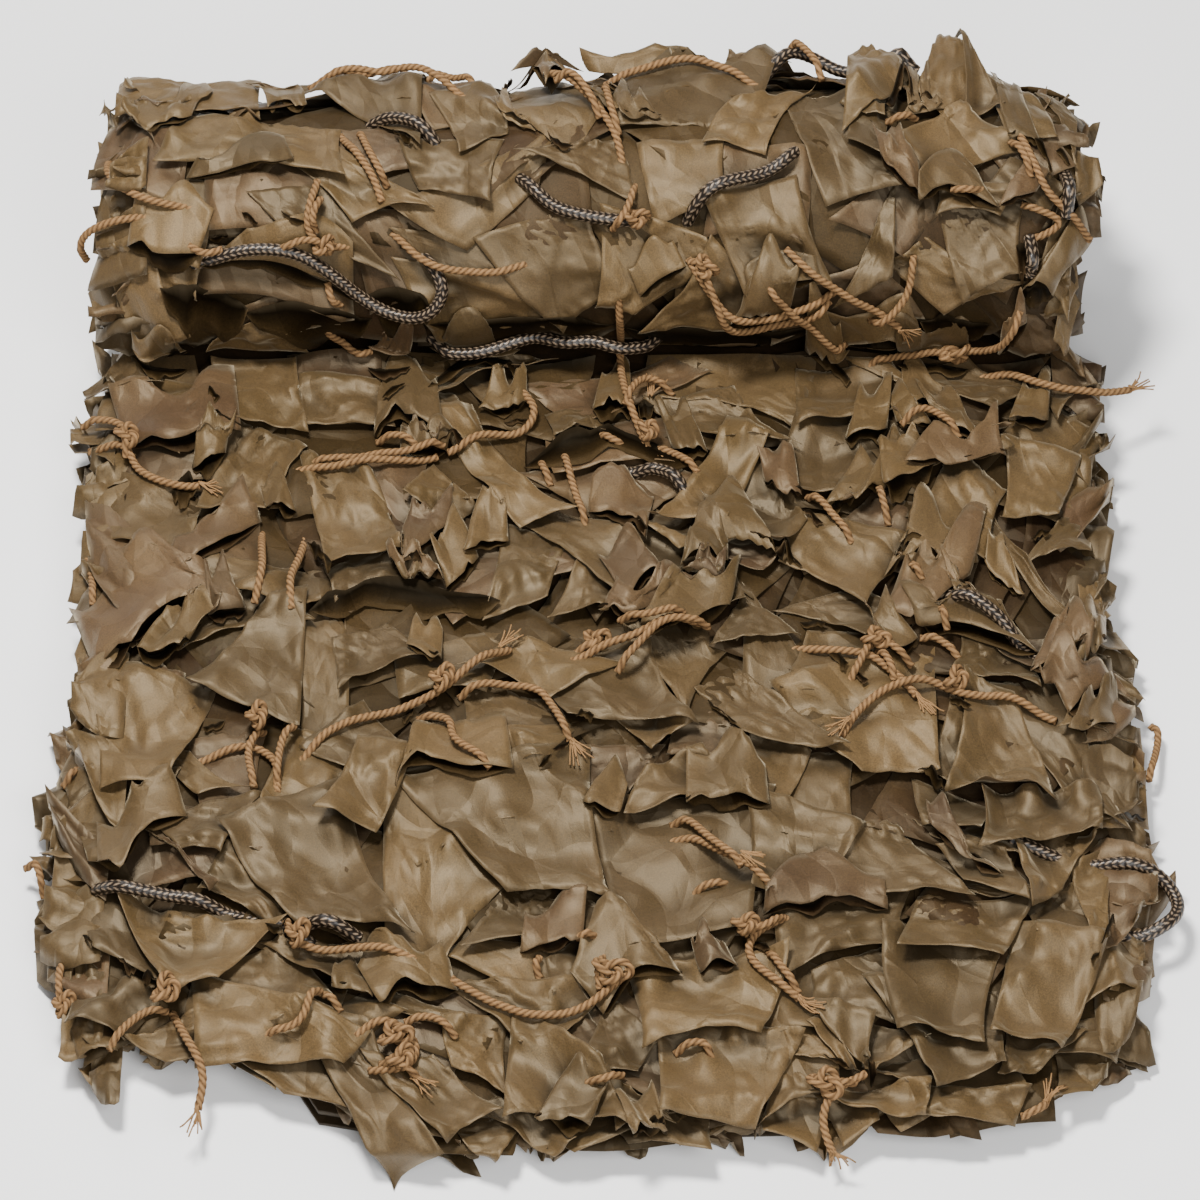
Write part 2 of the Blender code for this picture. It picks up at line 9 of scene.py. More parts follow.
import bpy
import numpy as np
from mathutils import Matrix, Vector

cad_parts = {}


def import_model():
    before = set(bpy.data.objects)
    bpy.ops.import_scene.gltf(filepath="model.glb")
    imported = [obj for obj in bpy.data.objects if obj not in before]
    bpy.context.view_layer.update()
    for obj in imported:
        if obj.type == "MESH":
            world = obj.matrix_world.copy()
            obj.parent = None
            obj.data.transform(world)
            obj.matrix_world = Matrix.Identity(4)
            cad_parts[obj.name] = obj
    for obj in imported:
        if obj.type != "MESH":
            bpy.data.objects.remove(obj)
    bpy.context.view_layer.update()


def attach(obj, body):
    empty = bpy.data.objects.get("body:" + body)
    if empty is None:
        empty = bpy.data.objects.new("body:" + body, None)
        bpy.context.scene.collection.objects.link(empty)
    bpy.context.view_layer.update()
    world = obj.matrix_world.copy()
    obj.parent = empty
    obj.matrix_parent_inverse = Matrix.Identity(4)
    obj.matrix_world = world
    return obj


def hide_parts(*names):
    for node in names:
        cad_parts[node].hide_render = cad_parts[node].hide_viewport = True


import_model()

rng = np.random.default_rng(23)

# ---------------------------------------------------------------- the net's own frame
SHIFT = np.array([-0.0018823, 0.0014600, 0.0])   # the part's origin is the middle of its base
FRONT_Y, CREASE_Y = -0.262, 0.1445               # the flat part's front edge and its far end
ROLL_Y, ROLL_Z, ROLL_R = 0.204, 0.0630, 0.0640
TAIL = CREASE_Y - FRONT_Y                        # s at the crease in front of the roll
CREASE_ANGLE = math.radians(-18.0)
# The flat part's height along y, and its front edge along x.
TOP_Y = (-0.262, -0.220, -0.170, -0.120, -0.060, 0.0, 0.060, 0.100)
TOP_Z = (0.0200, 0.0250, 0.0310, 0.0360, 0.0400, 0.0415, 0.0415, 0.0425)
EDGE_X = (-0.230, -0.130, -0.112, -0.060, 0.090, 0.150, 0.230)
EDGE_Y = (-0.222, -0.228, -0.262, -0.266, -0.258, -0.246, -0.226)
HALF = 0.204                                     # half the folded net's width
TWINE_R, ROPE_R = 0.00175, 0.00275
CLOTH_THICK = 0.00028


FRONT_SPREAD, SPREAD_RUN = 0.010, 0.40           # how much wider the front lies, and along what s


def fade(v, a, b):
    """0 up to a and 1 from b on, with a soft change between."""
    t = np.clip((np.asarray(v, float) - a) / (b - a), 0.0, 1.0)
    return t * t * (3.0 - 2.0 * t)


def spread(s):
    """How much wider than further back the net lies here, each way."""
    return FRONT_SPREAD * (1.0 - fade(s, 0.0, SPREAD_RUN))


# The bundle's swells, and how it falls off towards its sides, in millimetres.
BROAD_SWELL, NARROW_SWELL, LEAN_WAVE = 1.5, 0.9, 2.0
TAIL_FALL, ROLL_FALL = 5.0, 3.0
ROLL_LEAN = 14.0        # how much thicker the roll's right end is, in millimetres a metre


def swell(x, s):
    """Soft swells of the bundle along its surface normal."""
    wave = (BROAD_SWELL * np.sin(31.0 * x + 1.1) * np.cos(23.0 * s + 0.4)
            + NARROW_SWELL * np.sin(52.0 * x - 19.0 * s))
    tail = 1.0 - fade(s, TAIL - 0.07, TAIL - 0.03)
    roll = fade(s, TAIL + 0.02, TAIL + 0.05)
    side = np.clip(np.abs(x) / 0.21, 0.0, 1.15)
    lean = ROLL_LEAN * x + LEAN_WAVE * np.sin(15.0 * x + 0.6)
    on_tail = tail * (wave * 0.8 - TAIL_FALL * side ** 4)
    return 0.001 * (on_tail + roll * (wave + lean - ROLL_FALL * side ** 6))


FLAT_RUN = -0.022       # s in front of which the run lies on the ground
GROUND_Z = 0.0035


def make_profile():
    """The outer side's run in the YZ plane with its unit normals, every millimetre of s."""
    s = np.arange(-0.120, 0.820, 0.001)
    y = FRONT_Y + s
    z = np.interp(y, TOP_Y, TOP_Z)
    nose = s < 0.0
    y = np.where(nose, FRONT_Y + 0.45 * s, y)
    z = np.where(nose, TOP_Z[0] + 0.75 * s, z)
    flat = s < FLAT_RUN
    y = np.where(flat, FRONT_Y + 0.45 * FLAT_RUN + (s - FLAT_RUN), y)
    z = np.where(flat, GROUND_Z, z)
    angle = CREASE_ANGLE + (s - TAIL) / ROLL_R
    roll = s >= TAIL
    y = np.where(roll, ROLL_Y - ROLL_R * np.cos(angle), y)
    z = np.where(roll, ROLL_Z + ROLL_R * np.sin(angle), z)
    box = np.ones(9) / 9.0
    ys = np.convolve(np.pad(y, 4, mode="edge"), box, mode="valid")
    zs = np.convolve(np.pad(z, 4, mode="edge"), box, mode="valid")
    dy, dz = np.gradient(ys), np.gradient(zs)
    size = np.hypot(dy, dz)
    return s, ys, zs, -dz / size, dy / size


RUN_S, RUN_Y, RUN_Z, RUN_NY, RUN_NZ = make_profile()


def world(x, s, h):
    """World points for arrays of net coordinates."""
    x, s, h = np.broadcast_arrays(np.asarray(x, float), np.asarray(s, float), np.asarray(h, float))
    rise = h + swell(x, s)
    y = np.interp(s, RUN_S, RUN_Y) + np.interp(s, RUN_S, RUN_NY) * rise
    z = np.interp(s, RUN_S, RUN_Z) + np.interp(s, RUN_S, RUN_NZ) * rise
    out = np.stack([x, y, np.maximum(z, 0.0008)], axis=-1)
    return out + SHIFT


# ---------------------------------------------------------------- camera
PICTURE = 1200.0                        # width and height of the picture, in its own units
UNITS_PER_METRE = 2353.0                # at the aim
ELEVATION = math.radians(50.0)
DISTANCE = 2.4
AIM = np.array([0.0, 0.015, 0.030]) + SHIFT
FORWARD = np.array([0.0, math.cos(ELEVATION), -math.sin(ELEVATION)])
UPWARD = np.array([0.0, math.sin(ELEVATION), math.cos(ELEVATION)])
EYE = AIM - FORWARD * DISTANCE
FOCAL = UNITS_PER_METRE * DISTANCE

cam_data = bpy.data.cameras.new("camera")
cam_data.sensor_width = 36.0
cam_data.lens = 36.0 * FOCAL / PICTURE
cam_data.clip_end = 20.0
cam = bpy.data.objects.new("camera", cam_data)
cam.location = EYE
cam.rotation_euler = (math.radians(90.0) - ELEVATION, 0.0, 0.0)
bpy.context.scene.collection.objects.link(cam)
bpy.context.scene.camera = cam

ROW_S = np.arange(-0.080, 0.640, 0.001)


def from_picture(column, row, height=0.004):
    """Net coordinates of a spot in the picture, and how far it stands above the roll's outline."""
    x = 0.0
    for _ in range(2):
        line = world(x, ROW_S, height) - EYE
        far = line @ FORWARD
        rows = 0.5 * PICTURE - FOCAL * (line @ UPWARD) / far
        top = int(np.argmin(rows))
        s = np.interp(-row, -rows[:top + 1], ROW_S[:top + 1])
        depth = np.interp(s, ROW_S, far)
        x = (column - 0.5 * PICTURE) * depth / FOCAL
    above = max(0.0, (rows[top] - row) * depth / FOCAL)
    return x, s, above


# The net's outline in the picture, from its far left corner round by the front.
OUTLINE = (
    (130, 85), (95, 110), (85, 135), (88, 190), (90, 250), (84, 300), (82, 340), (72, 380),
    (52, 432), (78, 470), (84, 510), (64, 560), (62, 600), (72, 640), (66, 700), (58, 740),
    (45, 800), (24, 835), (32, 870), (45, 900), (26, 935), (50, 985), (58, 1020), (78, 1066),
    (130, 1058), (200, 1078), (276, 1092), (312, 1074), (412, 1178), (455, 1150), (494, 1166),
    (545, 1168), (568, 1152), (720, 1147), (765, 1132), (830, 1155), (880, 1132), (1010, 1132),
    (1050, 1118), (1090, 1095), (1120, 1060), (1150, 1012), (1160, 960), (1150, 900),
    (1178, 880), (1155, 835), (1156, 790), (1142, 740), (1146, 680), (1136, 640), (1112, 600),
    (1110, 560), (1116, 505), (1100, 470), (1104, 430), (1124, 389), (1085, 345), (1080, 280),
    (1084, 220), (1106, 195), (1106, 148), (1078, 110), (1046, 90), (1000, 65), (960, 38),
    (905, 50), (848, 50), (790, 70), (730, 50), (640, 45), (540, 50), (500, 75), (425, 70),
    (330, 62), (250, 66), (180, 72),
)


def on_surface(column, row, over=0.0):
    """As from_picture, for a spot this far over the cloth that is there already."""
    height = 0.0
    for _ in range(2):
        x, s, above = from_picture(column, row, height)
        height = float(sample(np.array([x]), np.array([s]))[0]) + over
    return x, s, above


def inside_outline(point):
    """Whether a world point falls within the net's outline in the picture."""
    line = np.asarray(point, float) - EYE
    scale = FOCAL / (line @ FORWARD)
    column = 0.5 * PICTURE + scale * line[0]
    row = 0.5 * PICTURE - scale * (line @ UPWARD)
    inside = False
    for (c0, r0), (c1, r1) in zip(OUTLINE, OUTLINE[1:] + OUTLINE[:1]):
        if (r0 > row) != (r1 > row) and column < c0 + (row - r0) / (r1 - r0) * (c1 - c0):
            inside = not inside
    return inside


# ---------------------------------------------------------------- light
def area_light(name, place, size, power, colour):
    """A round soft lamp that points at the net."""
    data = bpy.data.lights.new(name, "AREA")
    data.shape = "DISK"
    data.size = size
    data.energy = power
    data.color = colour
    obj = bpy.data.objects.new(name, data)
    obj.location = place
    obj.rotation_euler = (Vector(AIM) - Vector(place)).to_track_quat("-Z", "Y").to_euler()
    bpy.context.scene.collection.objects.link(obj)


LAMPS = (
    # name, place, diameter, watts, colour
    ("key", (-0.30, 0.02, 1.60), 0.34, 55.0, (1.0, 0.985, 0.96)),
    ("back", (-0.6, 1.5, 1.3), 0.8, 11.0, (1.0, 1.0, 1.0)),
    ("front", (0.35, -1.05, 1.1), 0.9, 22.0, (1.0, 1.0, 1.0)),
)
SKY_STRENGTH = 0.28

for lamp in LAMPS:
    area_light(*lamp)
sky = bpy.data.worlds.new("studio")
sky.use_nodes = True
sky.node_tree.nodes["Background"].inputs["Color"].default_value = (1.0, 1.0, 1.0, 1.0)
sky.node_tree.nodes["Background"].inputs["Strength"].default_value = SKY_STRENGTH
bpy.context.scene.world = sky


# ---------------------------------------------------------------- materials
def material(name, rough):
    """A plain material, with its nodes, links and shader."""
    mat = bpy.data.materials.new(name)
    mat.use_nodes = True
    nodes, links = mat.node_tree.nodes, mat.node_tree.links
    shader = nodes["Principled BSDF"]
    shader.inputs["Roughness"].default_value = rough
    return mat, nodes, links, shader


def noise_node(nodes, links, source, scale, detail, rough, space="3D"):
    """Soft noise; the scale is per metre."""
    node = nodes.new("ShaderNodeTexNoise")
    node.noise_dimensions = space
    node.inputs["Scale"].default_value = scale
    node.inputs["Detail"].default_value = detail
    node.inputs["Roughness"].default_value = rough
    links.new(source, node.inputs["Vector"])
    return node


def math_node(nodes, links, kind, a, b, c=None):
    """The output of one calculation with numbers and other outputs."""
    node = nodes.new("ShaderNodeMath")
    node.operation = kind
    for slot, value in zip(node.inputs, (a, b, c)):
        if value is None:
            continue
        if isinstance(value, float):
            slot.default_value = value
        else:
            links.new(value, slot)
    return node.outputs[0]


def mix_colour(nodes, links, share, a, b, blend="MIX"):
    """Colour a mixed with b, each a colour or an output."""
    node = nodes.new("ShaderNodeMix")
    node.data_type = "RGBA"
    node.blend_type = blend
    for slot, value in ((0, share), (6, a), (7, b)):
        if isinstance(value, (float, tuple)):
            node.inputs[slot].default_value = value if isinstance(value, float) else (*value, 1.0)
        else:
            links.new(value, node.inputs[slot])
    return node.outputs[2]


def bump_node(nodes, links, height, strength, distance, under=None):
    """Bump from a height, on top of the bump under it."""
    node = nodes.new("ShaderNodeBump")
    node.inputs["Strength"].default_value = strength
    node.inputs["Distance"].default_value = distance
    links.new(height, node.inputs["Height"])
    if under is not None:
        links.new(under, node.inputs["Normal"])
    return node.outputs[0]


OLIVE, BROWN = (0.0565, 0.0337, 0.0118), (0.048, 0.0258, 0.0122)      # the cloth's two sides
# and the painted highlight along the rims
# pale blotches that are partly uneven dye and partly painted satin sheen
DYE_AND_SHEEN, RIM_HIGHLIGHT = (0.087, 0.0515, 0.0210), (0.14, 0.10, 0.055)
SHEEN_TINT, GLOSS_TINT = (0.80, 0.66, 0.44, 1.0), (0.85, 0.70, 0.48, 1.0)
SHEEN, GLOSS = 0.22, 0.68
DYE_SCALE, GRAIN_SCALE, WEAVE_SCALE, WANDER_SCALE = 24.0, 1500.0, 2800.0, 34.0    # per metre
WANDER = 0.016          # how far the fine creases wander
DYE_SHEEN_GAIN, DYE_SHEEN_BIAS = 1.6, -0.50               # where the pale blotches show: partly uneven dye, partly painted satin sheen
GRAIN_GAIN, GRAIN_LEAST = 1.50, 0.25            # how light and how dark single threads are
LIGHTEST = 1.17         # the lightest leaf's share of its colour
ROUGH_GAIN, ROUGH_LEAST = 0.14, 0.46
SHEEN_ROUGH = 0.40
CREASE_TURN = (0.55, 0.35, 0.0)                 # so that the creases run askew
CREASE_DEEP = 0.15      # how deep a crease is, as a share of its size
WEAVE_BUMP = (0.30, 0.0002)                     # strength, height
CREASES = (
    # scale per metre, strength of the bump
    (26.0, 1.0),
    (66.0, 0.45),
)


def nylon(name, shine, least, creases, woven):
    """Thin coated nylon: olive on one side, brown on the other, satin, with soft creases; its colour also
    carries painted sheen, painted shade and painted highlights on the rims.
    """
    mat, nodes, links, shader = material(name, 0.55)
    tone = nodes.new("ShaderNodeAttribute")
    tone.attribute_name = "tone"
    parts = nodes.new("ShaderNodeSeparateColor")
    links.new(tone.outputs["Color"], parts.inputs[0])
    side, level, rim = parts.outputs[0], parts.outputs[1], parts.outputs[2]
    place = nodes.new("ShaderNodeTexCoord").outputs["Object"]
    base = mix_colour(nodes, links, side, OLIVE, BROWN)
    # pale blotches: partly uneven dye, partly painted satin sheen
    cloud = noise_node(nodes, links, place, DYE_SCALE, 2.0, 0.6)
    cloud_mix = math_node(nodes, links, "MULTIPLY_ADD", cloud.outputs["Fac"], DYE_SHEEN_GAIN, DYE_SHEEN_BIAS)
    cloud_mix.node.use_clamp = True
    base = mix_colour(nodes, links, cloud_mix, base, DYE_AND_SHEEN)
    grain = noise_node(nodes, links, place, GRAIN_SCALE, 1.0, 0.7)
    value = math_node(nodes, links, "MULTIPLY_ADD", level, LIGHTEST - least, least)
    grainy = math_node(nodes, links, "MULTIPLY_ADD", grain.outputs["Fac"], GRAIN_GAIN, GRAIN_LEAST)
    value = math_node(nodes, links, "MULTIPLY", value, grainy)
    base = mix_colour(nodes, links, 1.0, base, value, "MULTIPLY")
    # painted highlight along the cut edges
    base = mix_colour(nodes, links, rim, base, RIM_HIGHLIGHT)
    links.new(base, shader.inputs["Base Color"])
    rough = math_node(nodes, links, "MULTIPLY_ADD", cloud.outputs["Fac"], ROUGH_GAIN, ROUGH_LEAST)
    links.new(rough, shader.inputs["Roughness"])
    shader.inputs["Sheen Weight"].default_value = SHEEN * shine
    shader.inputs["Sheen Roughness"].default_value = SHEEN_ROUGH
    shader.inputs["Sheen Tint"].default_value = SHEEN_TINT
    shader.inputs["Specular IOR Level"].default_value = GLOSS * shine
    shader.inputs["Specular Tint"].default_value = GLOSS_TINT
    turned = nodes.new("ShaderNodeMapping")
    turned.inputs["Rotation"].default_value = CREASE_TURN
    links.new(place, turned.inputs["Vector"])
    bent = noise_node(nodes, links, turned.outputs[0], WANDER_SCALE, 0.0, 0.5, "2D")
    shift = math_node(nodes, links, "MULTIPLY_ADD", bent.outputs["Fac"], WANDER, -0.5 * WANDER)
    moved = nodes.new("ShaderNodeVectorMath")
    moved.operation = "ADD"
    links.new(turned.outputs[0], moved.inputs[0])
    links.new(shift, moved.inputs[1])
    bump = None
    for scale, strength in creases:
        edges = nodes.new("ShaderNodeTexVoronoi")
        edges.voronoi_dimensions = "2D"
        edges.feature = "DISTANCE_TO_EDGE"
        edges.inputs["Scale"].default_value = scale
        links.new(moved.outputs[0], edges.inputs["Vector"])
        deep = CREASE_DEEP / scale
        bump = bump_node(nodes, links, edges.outputs["Distance"], strength, deep, bump)
    if woven:
        weave = noise_node(nodes, links, place, WEAVE_SCALE, 0.0, 0.5)
        bump = bump_node(nodes, links, weave.outputs["Fac"], *WEAVE_BUMP, bump)
    links.new(bump, shader.inputs["Normal"])
    return mat


FIBRE_SHARE, FIBRE_BUMP = 0.7, (0.4, 0.0003)


def yarn(name, dark, light, rough, spec, scale=700.0):
    """Twisted or braided yarn with fine fibres; its grooves are painted darker than its ridges, as
    painted shade, and on the rope the light ridges are a painted highlight.
    """
    mat, nodes, links, shader = material(name, rough)
    place = nodes.new("ShaderNodeTexCoord").outputs["Object"]
    ridge = nodes.new("ShaderNodeAttribute")
    ridge.attribute_name = "ridge"
    fibre = noise_node(nodes, links, place, scale, 2.0, 0.6)
    share = math_node(nodes, links, "MULTIPLY_ADD", fibre.outputs["Fac"], FIBRE_SHARE, -0.5 * FIBRE_SHARE)
    share = math_node(nodes, links, "ADD", share, ridge.outputs["Fac"])
    share.node.use_clamp = True
    base = mix_colour(nodes, links, share, dark, light)
    links.new(base, shader.inputs["Base Color"])
    shader.inputs["Specular IOR Level"].default_value = spec
    bump = bump_node(nodes, links, fibre.outputs["Fac"], *FIBRE_BUMP)
    links.new(bump, shader.inputs["Normal"])
    return mat


NYLON = nylon("nylon_leaf", 1.0, 0.22, CREASES, True)
# a shaded copy of the nylon, with less sheen and gloss: painted shade for the deep cloth and the body
DEEP_NYLON = nylon("nylon_leaf_deep", 0.35, 0.22, CREASES, False)
# near black, with little sheen or gloss: for the sheets painted as shadow
SHADOW = nylon("nylon_leaf_shade", 0.06, 0.015, CREASES[:1], False)
# the twine's own tan on its ridges, with painted shade in its grooves
TWINE = yarn("tan_twine", (0.040, 0.018, 0.007), (0.225, 0.128, 0.056), 0.85, 0.12)
# the rope's own near-black brown, with painted highlights on the stitches
ROPE = yarn("brown_rope", (0.008, 0.005, 0.003), (0.23, 0.165, 0.108), 0.38, 0.32, 400.0)
floor_mat, _, _, floor_shader = material("studio_floor", 0.9)
floor_shader.inputs["Base Color"].default_value = (0.88, 0.88, 0.88, 1.0)


def normals_of(grid):
    """Unit normals of a grid of points, and the area round each point."""
    normal = np.cross(np.gradient(grid, axis=1), np.gradient(grid, axis=0))
    size = np.linalg.norm(normal, axis=-1, keepdims=True)
    normal /= size + 1e-12
    return normal, size


def cloth_part(obj):
    """Says that a piece is part of the net's cloth."""
    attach(obj, "root")
    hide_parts("leaf_net")


def mesh_object(name, points, faces, mat, smooth=True):
    """An object of this name in the scene, from its points and faces."""
    mesh = bpy.data.meshes.new(name)
    mesh.from_pydata([tuple(p) for p in points], [], [tuple(f) for f in faces])
    mesh.update()
    if smooth:
        mesh.shade_smooth()
    mesh.materials.append(mat)
    obj = bpy.data.objects.new(name, mesh)
    bpy.context.scene.collection.objects.link(obj)
    return obj


def paint(obj, name, values):
    """Store one colour or number for every point of a mesh."""
    values = np.asarray(values, np.float32)
    if values.ndim == 1:
        layer = obj.data.attributes.new(name, "FLOAT", "POINT")
        layer.data.foreach_set("value", values)
    else:
        layer = obj.data.color_attributes.new(name, "FLOAT_COLOR", "POINT")
        layer.data.foreach_set("color", values.ravel())


FLOOR = 6.0             # half the floor's side
floor = mesh_object("floor", [(-FLOOR, -FLOOR, 0), (FLOOR, -FLOOR, 0), (FLOOR, FLOOR, 0),
                              (-FLOOR, FLOOR, 0)], [(0, 1, 2, 3)], floor_mat, False)

# ---------------------------------------------------------------- height field over (x, s)
CELL = 0.002
FIELD_X = np.arange(-0.290, 0.2901, CELL)
FIELD_S = np.arange(-0.090, 0.7601, CELL)
SHOULDER, SHOULDER_DROP = 0.030, 0.013  # how far cloth reaches past the folds, and how it sinks
BUNDLE_TOP = -0.0080    # h of the folded bundle under its leaves


def ground():
    """Top of the folded bundle: flat inside its edges, sloping down past them."""
    x, s = np.meshgrid(FIELD_X, FIELD_S, indexing="ij")
    wide = HALF + spread(s) + 0.004 * np.sin(47.0 * s + 2.0 * np.sign(x))
    out = np.clip((np.abs(x) - (wide - 0.012)) / SHOULDER, 0.0, 1.4)
    h = BUNDLE_TOP - SHOULDER_DROP * out ** 1.6
    edge = np.interp(x, EDGE_X, EDGE_Y) - FRONT_Y
    low = np.where(s < FLAT_RUN, -0.0025, -0.014)
    front = fade(edge - s, -0.004, 0.016) * (s < 0.08)
    return h * (1.0 - front) + np.minimum(h, low) * front


HEIGHTS = ground()


def sample(x, s, field=None):
    """The height field, or another of its shape, read at places between its cells."""
    field = HEIGHTS if field is None else field
    u = np.clip((x - FIELD_X[0]) / CELL, 0, len(FIELD_X) - 1.001)
    v = np.clip((s - FIELD_S[0]) / CELL, 0, len(FIELD_S) - 1.001)
    i, j = u.astype(int), v.astype(int)
    a, b = u - i, v - j
    return ((1 - a) * (1 - b) * field[i, j] + a * (1 - b) * field[i + 1, j]
            + (1 - a) * b * field[i, j + 1] + a * b * field[i + 1, j + 1])


def splat(x, s, h):
    """Raise the height field to points that lie on it."""
    i = np.clip(np.rint((x - FIELD_X[0]) / CELL).astype(int), 0, len(FIELD_X) - 1)
    j = np.clip(np.rint((s - FIELD_S[0]) / CELL).astype(int), 0, len(FIELD_S) - 1)
    np.maximum.at(HEIGHTS, (i, j), h)


def blurred(field, cells):
    """The height field averaged over a square, twice."""
    box = np.ones(2 * cells + 1) / (2 * cells + 1)
    out = field
    for _ in range(2):
        for axis in (0, 1):
            pad = [(cells, cells) if axis == k else (0, 0) for k in (0, 1)]
            out = np.apply_along_axis(np.convolve, axis, np.pad(out, pad, mode="edge"), box, "valid")
    return out


# ---------------------------------------------------------------- leaf-cut cloth, draped in waves
LEAF_ROWS, LEAF_COLUMNS = 12, 12
DOWN = np.linspace(0.0, 1.0, LEAF_ROWS)[:, None]
ACROSS = np.linspace(0.0, 1.0, LEAF_COLUMNS)[None, :]


def quad_grid(corners, bulges):
    """Grid over a four-sided outline: root left, root right, tip right, tip left."""
    tl, tr, br, bl = (np.asarray(c, float) for c in corners)
    t, u = DOWN[..., None], ACROSS[..., None]
    grid = (1 - t) * ((1 - u) * tl + u * tr) + t * ((1 - u) * bl + u * br)

    def bow(a, b, amount, along):
        side = np.zeros_like(tl)
        side[0], side[1] = (b - a)[1], -(b - a)[0]
        return side * amount * 4.0 * along * (1.0 - along)

    top, right, bottom, left = bulges
    grid = grid + bow(tr, tl, top, u) * (1 - t) + bow(bl, br, bottom, u) * t
    grid = grid + bow(br, tr, right, t) * u + bow(tl, bl, left, t) * (1 - u)
    return grid


MOST_SLACK = 1.022      # a piece's spare length each way


def piece(corners, lift, tone=0.0, **more):
    """One leaf-cut piece of cloth, with seeded variation in how it lies; the lift is in mm."""
    sweep = rng.uniform(-0.06, 0.06)
    bulges = (rng.uniform(-0.04, 0.04), sweep + rng.uniform(-0.05, 0.02),
              rng.uniform(-0.12, 0.03), rng.uniform(-0.05, 0.02) - sweep)
    row = {
        "corners": corners, "lift": lift * 0.001, "tone": tone, "bulges": bulges,
        "slack": (rng.uniform(1.0, MOST_SLACK), rng.uniform(1.0, MOST_SLACK)),
        "pleat": 0.0, "tilt": rng.uniform(-0.7, 0.7), "level": rng.uniform(0.35, 1.0),
        "seed": int(rng.integers(1 << 30)), "flip": False,
    }
    row.update(more)
    return row


DENT_WAVES, FACET_SETS = 6, 2


def dents(seed, flat, size):
    """Sum of crossed waves of random direction, about 1 high."""
    r = np.random.default_rng(seed)
    out = np.zeros(flat.shape[:-1])
    for _ in range(DENT_WAVES):
        a = r.uniform(0, 2 * math.pi)
        f = 2.0 * math.pi / (size * r.uniform(0.6, 1.7))
        along = flat[..., 0] * math.cos(a) + flat[..., 1] * math.sin(a)
        cross = flat[..., 1] * math.cos(a) - flat[..., 0] * math.sin(a)
        wave = np.sin(f * along + 0.8 * np.sin(0.37 * f * cross + r.uniform(0, 6)) + r.uniform(0, 6))
        out += wave * (0.5 + 0.5 * np.sin(0.23 * f * cross + r.uniform(0, 6)))
    return out / math.sqrt(DENT_WAVES)


def facets(seed, flat, size):
    """Flat facets that meet in straight creases, about 1 high."""
    r = np.random.default_rng(seed)
    out = np.zeros(flat.shape[:-1])
    for _ in range(FACET_SETS):
        a = r.uniform(0, math.pi)
        along = flat[..., 0] * math.cos(a) + flat[..., 1] * math.sin(a)
        cross = flat[..., 1] * math.cos(a) - flat[..., 0] * math.sin(a)
        wave = along / (size * r.uniform(0.7, 1.5)) + 0.3 * np.abs(cross / size - r.uniform(-1, 1))
        out += np.abs((wave + r.uniform(0, 2)) % 2.0 - 1.0) - 0.5
    return out


CRUMPLE_HEIGHT, CRUMPLE_SIZE = 0.0020, 0.026
PLEAT_HEIGHT, PLEATS = 0.004, 19.0
DROP = 0.003            # how far above what is there a piece starts to fall


def build_wave(rows):
    """Placed grids of one wave's pieces: in the plane, their start heights and their lift."""
    place = np.zeros((len(rows), LEAF_ROWS, LEAF_COLUMNS, 3))
    lift = np.zeros((len(rows), LEAF_ROWS, LEAF_COLUMNS))
    for k, row in enumerate(rows):
        grid = quad_grid(row["corners"], row["bulges"])
        x, s, above = grid[..., 0], grid[..., 1], grid[..., 2]
        lift[k] = row["lift"] * DOWN ** 2.0 * (1.0 + row["tilt"] * (ACROSS - 0.5)) + above
        crumple = CRUMPLE_HEIGHT * facets(row["seed"], grid, CRUMPLE_SIZE)
        gather = (row["pleat"] * PLEAT_HEIGHT * np.cos(ACROSS * PLEATS + row["seed"] % 6)
                  * (1.0 - DOWN) ** 1.2)
        h = sample(x, s) + DROP + lift[k] + np.abs(crumple) + np.abs(gather)
        place[k] = np.stack([x, s, h], axis=-1)
    return place, lift


STRETCHY, SKEWED, BENT = 1.0, 0.6, 0.45         # how firmly each kind of link holds


def make_links(place, rows):
    """Index pairs and rest lengths, split so that no point is in two pairs of one group."""
    groups = []
    full = slice(None)
    slack_t = np.array([row["slack"][0] for row in rows])[:, None, None]
    slack_u = np.array([row["slack"][1] for row in rows])[:, None, None]
    gather = np.array([row["pleat"] for row in rows])[:, None, None]
    wide = slack_u * (1.0 + gather * (1.0 - DOWN[None]) ** 2.0)
    skew = 0.5 * (slack_t + wide)
    flat = place[..., :2]

    def add(ta, tb, ua, ub, scale, stiff):
        a, b = (full, ta, ua), (full, tb, ub)
        d = flat[b] - flat[a]
        size = np.sqrt((d * d).sum(axis=-1))
        rows_of = scale[:, ta] if scale.shape[1] > 1 else scale
        groups.append((a, b, size * rows_of, stiff))

    for k in (0, 1):
        n = (LEAF_ROWS - 1 - k) // 2 * 2 + k
        add(slice(k, n, 2), slice(k + 1, n + 1, 2), full, full, slack_t, STRETCHY)
        n = (LEAF_COLUMNS - 1 - k) // 2 * 2 + k
        add(full, full, slice(k, n, 2), slice(k + 1, n + 1, 2), wide, STRETCHY)
    for k in (0, 1):
        n = (LEAF_ROWS - 1 - k) // 2 * 2 + k
        near, far = slice(k, n, 2), slice(k + 1, n + 1, 2)
        left, right = slice(0, LEAF_COLUMNS - 1), slice(1, LEAF_COLUMNS)
        add(near, far, left, right, skew, SKEWED)
        add(near, far, right, left, skew, SKEWED)
    for k in (0, 1, 2, 3):
        first = np.arange(k, LEAF_ROWS - 2, 4)
        add(first, first + 2, full, full, slack_t, BENT)
        first = np.arange(k, LEAF_COLUMNS - 2, 4)
        add(full, full, first, first + 2, wide, BENT)
    return groups


HELD_EDGE, HELD_ROOT, HELD_CORNER = 0.45, 0.50, 0.7
KEPT_SPEED, FALL, CLEARANCE, GRIP = 0.86, 0.0010, 0.0008, 0.5
ROUNDS = 8


